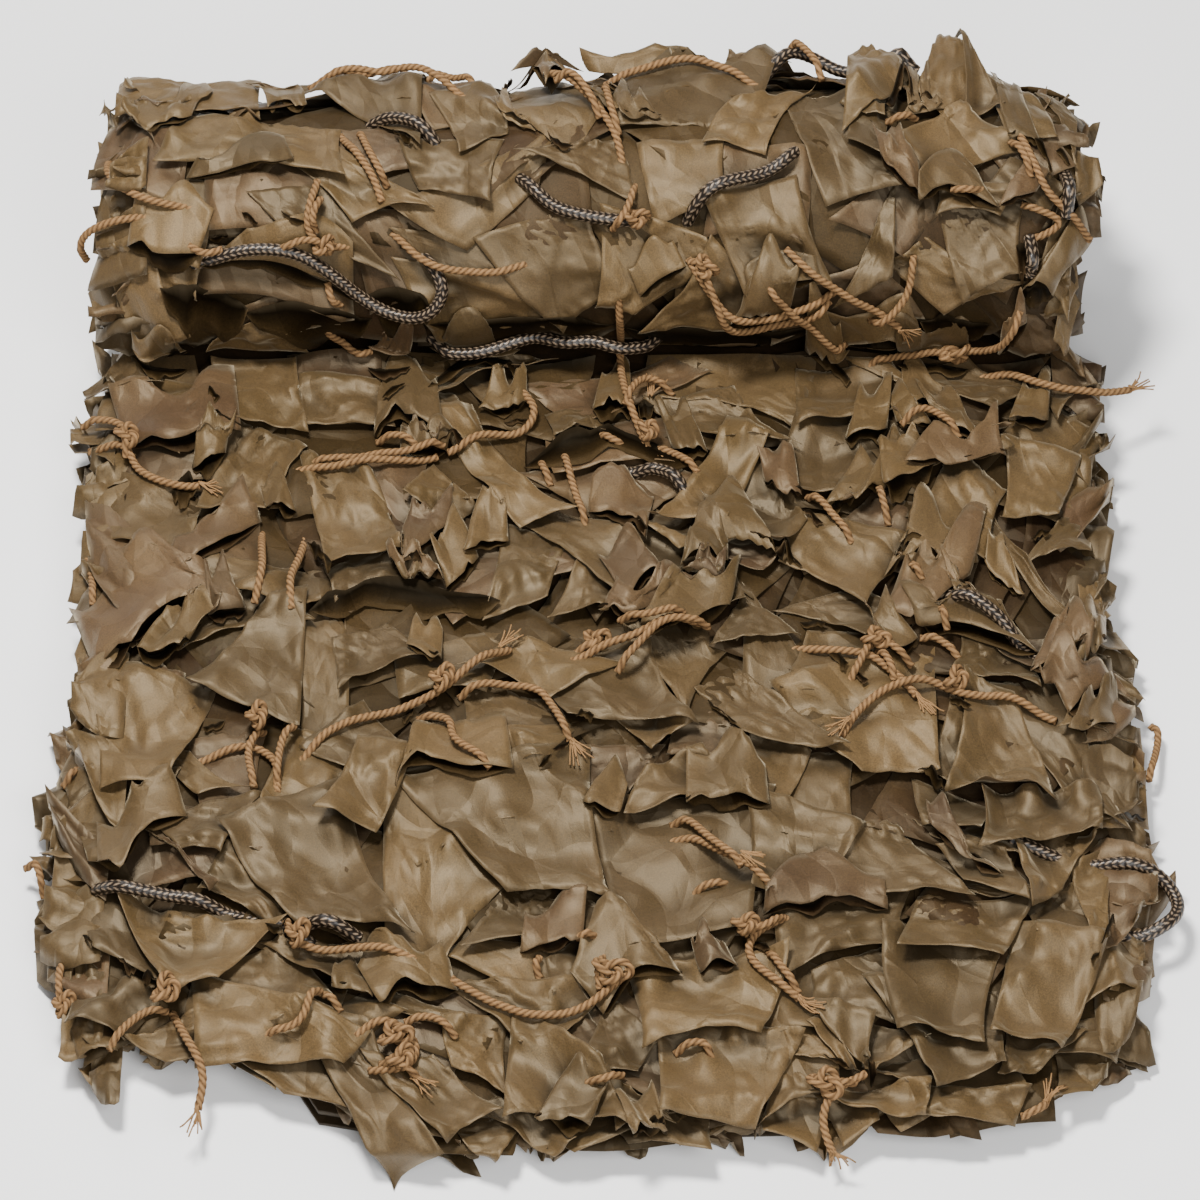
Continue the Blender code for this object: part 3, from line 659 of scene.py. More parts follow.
def drape(rows, steps):
    """Lets one wave's pieces fall on what is there: their grids in net coordinates."""
    p, lift = build_wave(rows)
    groups = make_links(p, rows)
    prev = p.copy()
    home = p[..., :2].copy()
    edge = np.zeros((LEAF_ROWS, LEAF_COLUMNS))
    edge[[0, -1], :] = edge[:, [0, -1]] = HELD_EDGE
    edge[0, :] = HELD_ROOT
    for t in (0, -1):
        for u in (0, -1):
            edge[t, u] = HELD_CORNER
    edge = edge[None, ..., None]
    for _ in range(steps):
        v = (p - prev) * KEPT_SPEED
        prev = p.copy()
        p = p + v
        p[..., 2] -= FALL
        for _ in range(ROUNDS):
            for a, b, size, stiff in groups:
                pa, pb = p[a], p[b]
                d = pb - pa
                far = np.sqrt((d * d).sum(axis=-1)) + 1e-9
                push = (0.5 * stiff * (far - size) / far)[..., None] * d
                p[a] = pa + push
                p[b] = pb - push
            p[..., :2] += (home - p[..., :2]) * edge
            under = sample(p[..., 0], p[..., 1]) + CLEARANCE + lift
            hit = under > p[..., 2]
            p[..., 2] = np.where(hit, under, p[..., 2])
            p[..., :2] += (prev[..., :2] - p[..., :2]) * np.where(hit, GRIP, 0.0)[..., None]
    return p


def finer(a):
    """Twice as many cells both ways, on a smooth curve through the old points."""
    def once(b):
        ext = np.concatenate([2 * b[:1] - b[1:2], b, 2 * b[-1:] - b[-2:-1]])
        mid = (-ext[:-3] + 9 * ext[1:-2] + 9 * ext[2:-1] - ext[3:]) / 16.0
        out = np.empty((2 * len(b) - 1, *b.shape[1:]))
        out[0::2], out[1::2] = b, mid
        return out
    return np.swapaxes(once(np.swapaxes(once(a), 0, 1)), 0, 1)


FOLD_SHARE, FOLD_MOST, FOLD_SIZE = 0.045, 0.0021, 0.022       # folds across a piece
CREASE_HEIGHT, CREASE_SIZE = 0.00045, 0.009
PIECE_GAP, BUILD_UP = 0.0009, 0.0003    # what is kept under a piece, and added upon it
SHADE_DEPTH, DARKEST_SHADE = 0.0046, 0.08          # painted shade: depth under the cloth's smoothed top at which cloth is painted darkest, and how dark that is


RIM_TOP, RIM_UNDER = 0.10, 0.2          # how much painted highlight a rim takes, on top and underneath
UNDER_LEVEL = 0.8       # how light an underside is, beside its top


class Cloth:
    """Collects pieces of thin cloth into one mesh, each with a top, an underside and a rim."""

    def __init__(self, name, mat):
        self.name, self.mat = name, mat
        self.points, self.faces, self.tones, self.nets = [], [], [], []
        self.area, self.count, self.tris = 0.0, 0, 0

    def shell(self, top, normal, row, area, net=None):
        """Both sides of a piece and the rim round them, from the points of its top."""
        low = top - normal * CLOTH_THICK
        low[..., 2] = np.maximum(low[..., 2], 0.0003)
        nt, nu = top.shape[:2]
        n = nt * nu
        grid = np.arange(n).reshape(nt, nu) + self.count
        a, b, c, d = grid[:-1, :-1], grid[:-1, 1:], grid[1:, 1:], grid[1:, :-1]
        quads = np.stack([a, d, c, b], axis=-1).reshape(-1, 4)
        under = np.stack([a, b, c, d], axis=-1).reshape(-1, 4) + n
        rim = np.concatenate([grid[0, :], grid[1:, -1], grid[-1, -2::-1], grid[-2:0:-1, 0]])
        nxt = np.roll(rim, -1)
        wall = np.stack([rim, nxt, nxt + n, rim + n], axis=-1)
        if row["flip"]:
            quads, under, wall = quads[:, ::-1], under[:, ::-1], wall[:, ::-1]
        self.faces += [quads, under, wall]
        self.points += [top.reshape(-1, 3), low.reshape(-1, 3)]
        edge = np.zeros((nt, nu))
        edge[[0, -1], :] = edge[:, [0, -1]] = 1.0
        level = np.full((nt, nu), row["level"])
        face = np.full((nt, nu), float(row["tone"]))
        ones = np.ones((nt, nu))
        # the rim share carries the painted highlight
        above = np.stack([face, level, edge * RIM_TOP, ones], axis=-1)
        below = np.stack([1.0 - face, level * UNDER_LEVEL, edge * RIM_UNDER, ones], axis=-1)
        self.tones += [above.reshape(-1, 4), below.reshape(-1, 4)]
        spots = np.full((n, 3), 1.0) if net is None else net.reshape(-1, 3)
        self.nets += [spots, spots]
        self.count += 2 * n
        self.tris += 2 * (len(quads) + len(under) + len(wall))
        self.area += area

    def add(self, net, row, refine=1, plain=False):
        """One piece, from its net coordinates; a plain one is neither creased nor built upon."""
        for _ in range(refine):
            net = finer(net)
        if not plain:
            flat = net[..., :2]
            wide = 0.5 * np.ptp(flat[..., 0]) + 0.5 * np.ptp(flat[..., 1])
            fold = min(FOLD_SHARE * wide, FOLD_MOST)
            net[..., 2] += fold * facets(row["seed"] + 2, flat, FOLD_SIZE)
            net[..., 2] += CREASE_HEIGHT * facets(row["seed"] + 3, flat, CREASE_SIZE)
            net[..., 2] = np.maximum(net[..., 2], sample(net[..., 0], net[..., 1]) + PIECE_GAP)
        top = world(net[..., 0], net[..., 1], net[..., 2])
        normal, size = normals_of(top)
        up = world(net[..., 0], net[..., 1], net[..., 2] + 0.001) - top
        sign = np.sign((normal * up).sum(-1).mean() + 1e-15)
        row = dict(row, flip=sign > 0)
        self.shell(top, normal * sign, row, float(size.sum()), None if plain else net)
        if not plain:
            dense = finer(net)
            splat(dense[..., 0], dense[..., 1], dense[..., 2] + BUILD_UP)

    def finish(self):
        """The mesh, with painted shade: what lies deep under others is painted darker."""
        obj = mesh_object(self.name, np.concatenate(self.points), np.concatenate(self.faces),
                          self.mat)
        tones = np.concatenate(self.tones)
        net = np.concatenate(self.nets)
        # painted shade: cloth below the smoothed top is painted darker the deeper it lies
        buried = sample(net[:, 0], net[:, 1], SHADE) - net[:, 2] - 0.0010
        tones[:, 1] *= np.clip(1.0 - buried / SHADE_DEPTH, DARKEST_SHADE, 1.0)
        paint(obj, "tone", tones)
        cloth_part(obj)
        return obj


cloths = []


def new_cloth(name, mat=NYLON):
    """An empty cloth that is finished with the others at the end."""
    cloths.append(Cloth(name, mat))
    return cloths[-1]


def outline_box(row):
    """The lowest and highest x and s of a piece."""
    c = np.array([corner[:2] for corner in row["corners"]])
    return c.min(axis=0), c.max(axis=0)


def waves_of(rows):
    """Splits pieces, in their order from below to above, into waves of pieces that are apart."""
    waves, boxes = [], []
    for row in rows:
        low, high = outline_box(row)
        level = 0
        for (a, b), at in boxes:
            if (low < b - 0.002).all() and (a + 0.002 < high).all():
                level = max(level, at + 1)
        boxes.append(((low, high), level))
        if level == len(waves):
            waves.append([])
        waves[level].append(row)
    return waves


MOST_TRIANGLES = 120000         # past this a cloth goes on as a new mesh
SMALL_PIECE = 0.034             # pieces under this size keep their coarse grid
STEPS, QUICK_STEPS = 30, 8


def drape_all(name, rows, refine=1, mat=NYLON):
    """Drapes pieces wave by wave and builds each upon the ones before."""
    cloth = new_cloth(f"{name}_1", mat)
    number = 1
    for wave in waves_of(rows):
        nets = drape(wave, STEPS)
        for row, net in zip(wave, nets):
            small = max(np.ptp(net[..., 0]), np.ptp(net[..., 1])) < SMALL_PIECE
            cloth.add(net, row, 0 if small else refine)
        if cloth.tris > MOST_TRIANGLES:
            number += 1
            cloth = new_cloth(f"{name}_{number}", mat)


# ---------------------------------------------------------------- folded and rolled body
GAP_SHARE = 0.05
LAYER_SHARE = (1.0 - 3.0 * GAP_SHARE) / 4.0
COLUMNS = np.linspace(-0.180, 0.180, 17)
SINK = 0.0092           # how far the body lies under the leaves' ground
BODY_INSET = 0.006      # and how far inside their sides
GAP_END = 0.010         # how far the gap between two layers ends inside their fold
WINDING = (
    # degrees past the floor, outer radius, inner radius
    (24, 0.0640, 0.0215),
    (265, 0.0636, 0.0212),
    (283, 0.0600, 0.0170),
    (295, 0.0415, 0.0112),
    (309, 0.0270, 0.0060),
    (333, 0.0188, 0.0035),
    (380, 0.0165, 0.0030),
    (430, 0.0172, 0.0030),
    (530, 0.0175, 0.0030),
)
TAIL_STATIONS, ROLL_STEP = 34, 9.0
LAYER_FRONT = (0.000, 0.005, 0.001, 0.008)
BODY_EDGE_Y = (-0.194, -0.197, -0.236, -0.244, -0.240, -0.226, -0.204)   # at the places of EDGE_X


TAIL_DENT, ROLL_DENT, DENT_SIZE = 0.0012, 0.0015, 0.030
# Past this many degrees the winding runs inside its outer turn, which is a little wider.
INSIDE, INSIDE_WIDTH, LEAST_STACK = 275, 0.985, 0.008
FOLD_WAVES = (
    # radians a metre, phase: three folds, then the two loose edges
    (47, 0.5),
    (58, 2.3),
    (51, 1.2),
    (63, 0.0),
    (44, 4.0),
)


def layer_low(k):
    """The height of a layer's underside, as a share of the whole stack."""
    return k * (LAYER_SHARE + GAP_SHARE)


def layer_high(k):
    """And of its upper side."""
    return layer_low(k) + LAYER_SHARE


def body_half(s):
    """Half the body's width, which is more towards the front."""
    return HALF - BODY_INSET + float(spread(s))


def section(s):
    """Back-and-forth outline of the four layers: rows of (x, height share, layer) by run."""
    def run(left, right, q, k):
        x = np.concatenate([[left], COLUMNS, [right]])
        return np.stack([x, np.full_like(x, q), np.full_like(x, k)], axis=-1)

    def fold(x, lower, upper, side):
        q0, q1 = layer_low(lower), layer_high(upper)
        a = np.linspace(0.15, 0.85, 7) * math.pi
        bulge = 0.0055 + 0.002 * math.sin(90.0 * s + 2.0 * lower)
        return np.stack([x + side * bulge * np.sin(a), 0.5 * (q0 + q1) - 0.5 * (q1 - q0) * np.cos(a),
                         np.where(a < 1.57, lower, upper)], axis=-1)

    wide = body_half(s)
    wave = [0.0045 * math.sin(f * s + p) + 0.002 * math.sin(2.7 * f * s + 3.0 * p)
            for f, p in FOLD_WAVES]
    r01, r23, l12 = wide + wave[0], wide + wave[1] - 0.002, -wide + wave[2]
    l0, l3 = -wide + wave[3], -wide + wave[4]
    return (
        ("low0", run(l0, r01, layer_low(0), 0)),
        ("right01", fold(r01, 0, 1, 1.0)),
        ("high1", run(l12 + GAP_END, r01, layer_high(1), 1)[::-1]),
        ("low2", run(l12 + GAP_END, r23, layer_low(2), 2)),
        ("right23", fold(r23, 2, 3, 1.0)),
        ("high3", run(l3, r23, layer_high(3), 3)[::-1]),
        ("low3", run(l3, r23 - GAP_END, layer_low(3), 3)),
        ("high2", run(l12, r23 - GAP_END, layer_high(2), 2)[::-1]),
        ("left12", fold(l12, 1, 2, -1.0)[::-1]),
        ("low1", run(l12, r01 - GAP_END, layer_low(1), 1)),
        ("high0", run(l0, r01 - GAP_END, layer_high(0), 0)[::-1]),
    )


def tail_ring(share):
    """Section ring across the flat part, from the front edge (0) to under the axis (1)."""
    rows = np.concatenate([points for _, points in section((ROLL_Y - FRONT_Y) * share)])
    x, q, layer = rows.T
    start = np.interp(x, EDGE_X, BODY_EDGE_Y) + np.array(LAYER_FRONT)[layer.astype(int)]
    y = start + (ROLL_Y - start) * share
    top = np.interp(y, TOP_Y, TOP_Z) + swell(x, np.minimum(y - FRONT_Y, TAIL)) - SINK
    dent = TAIL_DENT * dents(5, np.stack([x, y], axis=-1), DENT_SIZE) * (q > 0.99)
    return np.stack([x, y, np.maximum(q * top + dent, 0.0009)], axis=-1)


def roll_ring(degrees):
    """Section ring at one angle of the winding."""
    angles, outers, inners = zip(*WINDING)
    outer = float(np.interp(degrees, angles, outers)) - SINK
    inner = float(np.interp(degrees, angles, inners))
    if degrees > INSIDE:
        outer = max(outer, inner + LEAST_STACK)
    rows = np.concatenate([p for _, p in section(0.47 + math.radians(degrees) * 0.05)])
    x, q, _ = rows.T
    turn = math.radians(degrees - 90.0)
    s = TAIL + (math.radians(270.0 - degrees) - CREASE_ANGLE) * ROLL_R
    blend = float(fade(degrees, 0.0, 40.0) * (1.0 - fade(degrees, 262.0, 290.0)))
    h = swell(x, s) * blend
    dent = ROLL_DENT * dents(6, np.stack([x, np.full_like(x, s)], axis=-1), DENT_SIZE)
    radius = outer + h + (inner - outer - 0.6 * h) * q + dent * (q < 0.01) * blend
    x = x * (1.0 if degrees < INSIDE else INSIDE_WIDTH)
    return np.stack([x, ROLL_Y + radius * math.cos(turn),
                     np.maximum(ROLL_Z + radius * math.sin(turn), 0.0009)], axis=-1)


def cap_faces(first):
    """Faces over one end of the body, layer by layer, which leave its gaps open."""
    runs, at = {}, first
    for name, points in section(0.0):
        runs[name] = list(range(at, at + len(points)))
        at += len(points)
    for name in ("high0", "high1", "high2", "high3", "left12"):
        runs[name] = runs[name][::-1]
    faces = []
    for k in range(4):
        low, high = runs[f"low{k}"], runs[f"high{k}"]
        faces += [(low[i], low[i + 1], high[i + 1], high[i]) for i in range(len(low) - 1)]
    faces.append((runs["low0"][-1], *runs["right01"], runs["high1"][-1], runs["low1"][-1],
                  runs["high0"][-1]))
    faces.append((runs["low2"][-1], *runs["right23"], runs["high3"][-1], runs["low3"][-1],
                  runs["high2"][-1]))
    faces.append((runs["low1"][0], *runs["left12"], runs["high2"][0], runs["low2"][0],
                  runs["high1"][0]))
    return faces


def make_body():
    """The folded and rolled length of cloth that lies under all the leaves."""
    rings = [tail_ring(i / (TAIL_STATIONS - 1)) for i in range(TAIL_STATIONS)]
    degrees = np.arange(WINDING[0][0], WINDING[-1][0] + 0.1, ROLL_STEP)
    rings += [roll_ring(float(d)) for d in degrees]
    count = len(rings[0])
    points = np.concatenate(rings) + SHIFT
    a = np.arange(count)
    b = np.roll(a, -1)
    faces = []
    for k in range(len(rings) - 1):
        quads = np.stack([a, b, b + count, a + count], -1) + k * count
        faces += [tuple(int(i) for i in q) for q in quads]
    ends = cap_faces(0)
    faces += [f[::-1] for f in ends] + cap_faces((len(rings) - 1) * count)
    obj = mesh_object("folded_body", points, faces, DEEP_NYLON)
    # painted shade: the body under the leaves takes the lowest level, so it is painted darkest
    paint(obj, "tone", np.tile((0.8, 0.0, 0.0, 1.0), (len(points), 1)))
    cloth_part(obj)


make_body()

# ---------------------------------------------------------------- ruffled cut edges of the folds
RUFFLE_CELLS = 8
TRIES, STEP_IN, SHORTEN = 5, 0.004, 0.80         # how a ruffle is kept within the outline
RUFFLE_HIGH, FINE_WAVE, FINE_RIPPLE = 0.22, 0.0009, 0.0007
OUTWARD = np.linspace(0.0, 1.0, RUFFLE_CELLS)[:, None]
SIDEWAYS = np.linspace(-1.0, 1.0, RUFFLE_CELLS)[None, :]


def ruffle(cloth, root, out, along, up, width, length, droop):
    """A cut leaf that comes out of a fold: out is away from it, along follows the fold."""
    root, out, along, up = (np.asarray(v, float) for v in (root, out, along, up))
    for _ in range(TRIES):
        if inside_outline(root + out * length + SHIFT):
            break
        root = root - STEP_IN * out
        length *= SHORTEN
    else:
        return
    skew, phase, wave = rng.uniform(-0.7, 0.7), rng.uniform(0, 6.3), rng.uniform(1.2, 2.8)
    half = 0.5 * width * (0.80 + 0.35 * OUTWARD - rng.uniform(0.55, 1.12) * OUTWARD ** 2)
    side = SIDEWAYS * half + skew * length * OUTWARD ** 1.5
    reach = length * OUTWARD * (1.0 + 0.25 * SIDEWAYS * skew)
    lift = RUFFLE_HIGH * length * np.sin(wave * SIDEWAYS * 2.0 + phase) * OUTWARD
    lift = lift + droop * length * OUTWARD ** 2
    lift = lift + FINE_WAVE * np.sin(9.0 * SIDEWAYS + 7.0 * OUTWARD + phase)
    lift = lift + FINE_RIPPLE * np.sin(15.0 * OUTWARD - phase)
    top = (root + reach[..., None] * out + side[..., None] * along + lift[..., None] * up) + SHIFT
    top[..., 2] = np.maximum(top[..., 2], 0.0009)
    normal, size = normals_of(top)
    sign = np.sign((normal @ up).mean() + 1e-12)
    row = {"flip": sign > 0, "tone": float(rng.random() < 0.35), "level": rng.uniform(0.15, 0.9)}
    cloth.shell(top, normal * sign, row, float(size.sum()))


SIDE_RUFFLES, SIDE_Y, SIDE_RUN = 70, -0.224, 0.372
FRONT_RUFFLES, FRONT_X, FRONT_RUN = 60, -0.200, 0.402
STAGGER = 0.382         # each ruffle stands this share of the stack higher than the last
END_RINGS = (
    # radius about the roll's axis, ruffles in the ring
    (0.056, 15),
    (0.046, 13),
    (0.036, 10),
    (0.025, 7),
    (0.013, 4),
)
RIGHT, BACK, UP = (1.0, 0.0, 0.0), (0.0, 1.0, 0.0), (0.0, 0.0, 1.0)


def side_ruffles(cloth, side):
    """Along the folds at one side of the flat part."""
    for k in range(SIDE_RUFFLES):
        y = SIDE_Y + SIDE_RUN * (k + rng.uniform(-0.8, 0.8)) / (SIDE_RUFFLES - 1)
        q = (0.05 + 0.90 * ((k * STAGGER) % 1.0)) + rng.uniform(-0.06, 0.06)
        wide = body_half(y - FRONT_Y)
        top = float(np.interp(y, TOP_Y, TOP_Z)) - 0.0045
        droop = rng.uniform(-0.55, 0.25) if q > 0.3 else rng.uniform(-0.05, 0.25)
        ruffle(cloth, (side * wide, y, max(q * top, 0.0015)), (side, rng.uniform(-1.0, 1.0), 0.0),
               BACK, UP, rng.uniform(0.028, 0.062), rng.uniform(0.016, 0.036), droop)


def end_ruffles(cloth, side):
    """Round the spiral at one end of the roll."""
    for radius, number in END_RINGS:
        for i in range(number):
            a = 2.0 * math.pi * (i + rng.uniform(-0.4, 0.4)) / number
            ray = np.array([0.0, math.cos(a), math.sin(a)])
            turn = np.array([0.0, -math.sin(a), math.cos(a)])
            root = np.array([side * (HALF - 0.008), ROLL_Y, ROLL_Z]) + ray * (
                radius + rng.uniform(-0.004, 0.004))
            lean = rng.uniform(-0.35, 0.55)
            ruffle(cloth, root, np.array([side, 0.0, 0.0]) + lean * ray, turn, ray,
                   rng.uniform(0.018, 0.040), rng.uniform(0.010, 0.026), rng.uniform(-0.4, 0.4))


def fold_ruffles():
    """The leaves' cut edges that come out of the folds, at both sides and in front."""
    cloth = new_cloth("fold_edges")
    for side in (-1.0, 1.0):
        side_ruffles(cloth, side)
        end_ruffles(cloth, side)
    for k in range(FRONT_RUFFLES):
        x = FRONT_X + FRONT_RUN * (k + rng.uniform(-0.8, 0.8)) / (FRONT_RUFFLES - 1)
        edge = float(np.interp(x, EDGE_X, BODY_EDGE_Y))
        q = (k * STAGGER) % 1.0
        ruffle(cloth, (x, edge + 0.008, 0.0018 + 0.0130 * q), (rng.uniform(-0.5, 0.5), -1.0, 0.0),
               RIGHT, UP, rng.uniform(0.020, 0.040), rng.uniform(0.012, 0.024),
               rng.uniform(-0.15, 0.15))


# ---------------------------------------------------------------- cords
# The routes are the part's own, as (x, s) in mm.
ROPES = (
    # name, share of the route where it comes to light and where it goes under, route
    ("border_rope_loop", 0.00, 1.03, (
        (-176, 458), (-159, 466), (-143, 468), (-129, 465), (-115, 455), (-103, 443),
        (-90, 436), (-77, 437), (-68, 446), (-70, 458), (-80, 464))),
    ("border_rope_top_left", 0.16, 0.92, (
        (-118, 548), (-104, 542), (-89, 535), (-74, 525), (-62, 512))),
    ("border_rope_middle", 0.05, 0.85, (
        (-42, 508), (-32, 498), (-20, 486), (0, 481), (20, 480), (36, 486))),
    ("border_rope_double", 0.05, 0.95, (
        (34, 472), (44, 490), (58, 496), (72, 500), (84, 510), (90, 524))),
    ("border_rope_top", 0.00, 0.70, ((70, 566), (82, 574), (98, 578), (114, 574), (126, 566))),
    ("border_rope_tail", 0.30, 0.90, ((120, 262), (136, 270), (152, 267), (170, 255), (184, 240))),
    ("border_rope_left", -0.05, 0.62, (
        (-206, 126), (-194, 120), (-176, 118), (-154, 114), (-132, 106), (-116, 98))),
    ("border_rope_right", 0.26, 0.90, (
        (168, 146), (186, 140), (204, 138), (221, 137), (233, 131), (237, 120), (230, 109),
        (217, 105), (203, 106))),
)

TWINES = (
    # name, far end, route
    ("twine_tie_roll_left", "object", ((-214, 520), (-213, 505), (-204, 494), (-190, 488),
                                       (-176, 486))),
    ("twine_tie_roll_top", "object", ((-128, 574), (-108, 569), (-88, 568), (-74, 562),
                                      (-58, 548))),
    ("twine_tie_lens", "object", ((-113, 528), (-106, 514), (-98, 500), (-94, 488))),
    ("twine_tie_by_loop", "object", ((-122, 500), (-125, 487), (-126, 476), (-119, 468),
                                     (-107, 468))),
    ("twine_tie_out_left", "object", ((-196, 482), (-210, 480), (-222, 474), (-226, 464),
                                      (-224, 450))),
    ("twine_tie_mid", "object", ((-90, 474), (-78, 464), (-62, 459), (-46, 458), (-32, 460))),
    ("twine_tie_roll_v", "object", ((-24, 556), (-10, 544), (2, 530), (8, 516), (10, 504))),
    ("twine_tie_top_mid", "object", ((0, 556), (14, 564), (32, 568), (52, 566), (70, 556))),
    ("twine_tie_right_v", "object", ((180, 522), (186, 506), (192, 492), (204, 482), (212, 470))),
    ("twine_tie_crease", "object", ((38, 463), (46, 452), (56, 440), (72, 438), (88, 442),
                                    (102, 448))),
    ("twine_tie_frayed", "bare", ((80, 468), (92, 459), (105, 450), (118, 441), (130, 432))),
    ("twine_tie_out_right", "bare", ((166, 400), (180, 396), (192, 388), (206, 386), (220, 388),
                                     (232, 394))),
    ("twine_tie_hanging", "bare", ((8, 446), (9, 424), (9, 400), (12, 378), (20, 356))),
    ("twine_tie_left_knot", "bare", ((-222, 362), (-206, 358), (-200, 346), (-188, 336),
                                     (-172, 334))),
    ("twine_tie_fan", "object", ((-132, 344), (-112, 342), (-92, 344), (-70, 350))),
    ("twine_tie_hook", "object", ((-66, 352), (-50, 360), (-34, 364), (-28, 374), (-34, 386))),
    ("twine_tie_v_left", "object", ((-145, 312), (-144, 296), (-143, 280), (-146, 266))),
    ("twine_tie_v_right", "object", ((-126, 308), (-128, 292), (-131, 277), (-130, 262))),
    ("twine_tie_middle_bow", "object", ((-12, 236), (2, 241), (16, 243), (30, 250), (44, 252))),
    ("twine_tie_big_a", "bare", ((80, 246), (98, 242), (113, 238), (124, 228), (132, 216))),
    ("twine_tie_right_long", "object", ((100, 194), (108, 208), (122, 219), (138, 224), (152, 218),
                                        (170, 217), (190, 207))),
    ("twine_tie_left_long", "object", ((-38, 242), (-54, 228), (-68, 218), (-90, 211),
                                       (-109, 201), (-124, 186))),
    ("twine_tie_left_fan", "object", ((-168, 186), (-154, 191), (-142, 192), (-134, 184),
                                      (-133, 168))),
    ("twine_tie_tongue", "object", ((-127, 104), (-121, 93), (-106, 91), (-90, 89), (-74, 84))),
    ("twine_tie_low_mid", "object", ((-60, 78), (-42, 67), (-22, 61), (-2, 67), (12, 82))),
    ("twine_tie_low_right", "object", ((28, 148), (38, 147), (48, 138), (60, 128), (70, 118))),
    ("twine_tie_scallop", "bare", ((76, 108), (62, 98), (60, 88), (68, 78), (80, 68))),
    ("twine_tie_front_left", "bare", ((-172, 66), (-165, 50), (-158, 36), (-160, 22))),
    ("twine_tie_front_knot", "object", ((-98, 52), (-88, 58), (-77, 54), (-73, 44), (-80, 36),
                                        (-92, 38))),
    ("twine_tie_front_right", "bare", ((106, 34), (94, 27), (88, 16), (92, 2))),
)

# Short stretches of the netting's twine that show between the leaves, as places in the picture.
NETTING = (
    ((323, 63), (370, 64), (413, 69)), ((425, 69), (452, 73), (476, 84)),
    ((358, 128), (370, 155), (387, 186)), ((321, 199), (312, 216), (316, 233)),
    ((279, 251), (302, 239), (325, 243), (318, 254)), ((188, 247), (205, 252), (222, 251)),
    ((327, 283), (332, 300), (341, 312)), ((321, 333), (350, 346), (373, 350)),
    ((555, 80), (575, 98), (600, 111)), ((604, 84), (610, 105), (619, 130)),
    ((788, 77), (805, 82), (822, 92)), ((887, 121), (900, 124), (916, 122)),
    ((1011, 138), (1022, 155), (1032, 174)), ((952, 186), (968, 190), (983, 188)),
    ((1021, 205), (1044, 212), (1061, 222), (1045, 234), (1025, 241)),
    ((635, 184), (628, 208), (612, 230)), ((688, 264), (700, 262), (711, 264)),
    ((703, 268), (715, 300), (735, 325), (791, 318), (830, 302)),
    ((768, 289), (806, 318), (845, 348)), ((914, 256), (905, 290), (870, 325)),
    ((868, 362), (918, 354), (956, 352), (994, 337), (1021, 318)),
    ((625, 398), (645, 388), (673, 393)), ((82, 426), (110, 428), (126, 434), (126, 460)),
    ((310, 458), (367, 458), (410, 450), (444, 441)), ((377, 441), (400, 438), (417, 439)),
    ((540, 457), (544, 472), (551, 487)), ((563, 453), (572, 488), (586, 522)),
    ((86, 556), (92, 576), (92, 598)), ((600, 439), (614, 444), (627, 443)),
    ((654, 447), (676, 456), (698, 470)), ((807, 499), (830, 516), (853, 537)),
    ((879, 491), (882, 506), (889, 522)), ((902, 416), (930, 420), (960, 430)),
    ((912, 556), (916, 566), (923, 575)), ((941, 600), (944, 612), (948, 623)),
    ((684, 613), (650, 620), (619, 631)), ((574, 648), (588, 646), (600, 640)),
    ((617, 673), (640, 656), (665, 644), (709, 634)), ((872, 644), (862, 662), (849, 678)),
    ((880, 645), (896, 656), (912, 669)), ((877, 648), (888, 662), (895, 677)),
    ((920, 636), (940, 642), (960, 654)), ((459, 698), (498, 690), (540, 698), (570, 738)),
    ((417, 713), (448, 721), (455, 744), (490, 763)), ((264, 728), (249, 755), (254, 789)),
    ((295, 721), (282, 748), (276, 782)), ((77, 763), (72, 775), (63, 786)),
    ((671, 822), (688, 822), (711, 843), (742, 864)), ((692, 891), (711, 884), (730, 880)),
    ((27, 881), (38, 878), (44, 897)), ((264, 1029), (299, 1017), (312, 996), (320, 986)),
    ((320, 986), (332, 994), (341, 1010)), ((63, 958), (60, 984), (61, 1010)),
    ((168, 1002), (148, 1012), (130, 1025), (109, 1052)), ((540, 952), (534, 964), (540, 975)),
    ((784, 912), (766, 926), (745, 937)), ((768, 948), (784, 970), (799, 994)),
    ((586, 1073), (604, 1078), (623, 1075)), ((856, 1077), (842, 1086), (829, 1090)),
    ((810, 1077), (820, 1086), (826, 1098)), ((1021, 1115), (1036, 1116), (1046, 1108), (1046, 1100)),
    ((1151, 719), (1158, 732), (1156, 752), (1150, 772)), ((380, 1062), (402, 1066), (420, 1078)),
    ((675, 1052), (690, 1046), (706, 1042), (712, 1056)), ((404, 1022), (430, 1018), (456, 1032)),
    ((598, 932), (586, 933), (576, 934)), ((606, 950), (598, 966), (600, 990)),
)

# Short stretches of the border rope, in the same way.
STRETCHES = (
    ((425, 341), (497, 339), (600, 338), (669, 342)), ((1065, 172), (1068, 195), (1065, 218)),
    ((1029, 236), (1032, 254), (1029, 272)), ((628, 466), (660, 474), (690, 487)),
    ((297, 918), (330, 922), (360, 928)), ((882, 56), (900, 60), (918, 66)),
)

# Knots in the twine, as places in the picture with a size (mm).
KNOTS = (
    (595, 641, 5.5), (442, 684, 5.5), (956, 352, 6.0), (826, 1092, 6.5), (168, 1004, 6.0),
    (396, 1042, 6.0), (612, 976, 7.0), (876, 646, 5.0), (258, 726, 5.0), (637, 218, 4.5),
    (128, 438, 5.0), (956, 686, 5.0), (745, 936, 4.5), (325, 246, 4.0), (706, 266, 4.5),
    (298, 936, 5.0), (648, 436, 4.5), (64, 1008, 4.5), (402, 1062, 5.0),
)

# Frayed ends of the netting: place in the picture and the way they point (degrees, 90 is up).
FRAYS = (
    (500, 646, 40), (850, 718, 215), (572, 740, -70), (742, 862, -30), (412, 1076, -30),
    (1046, 1104, 60), (650, 398, 70),
)

CURVE_STEPS = 16        # of a smooth route, between two of its places
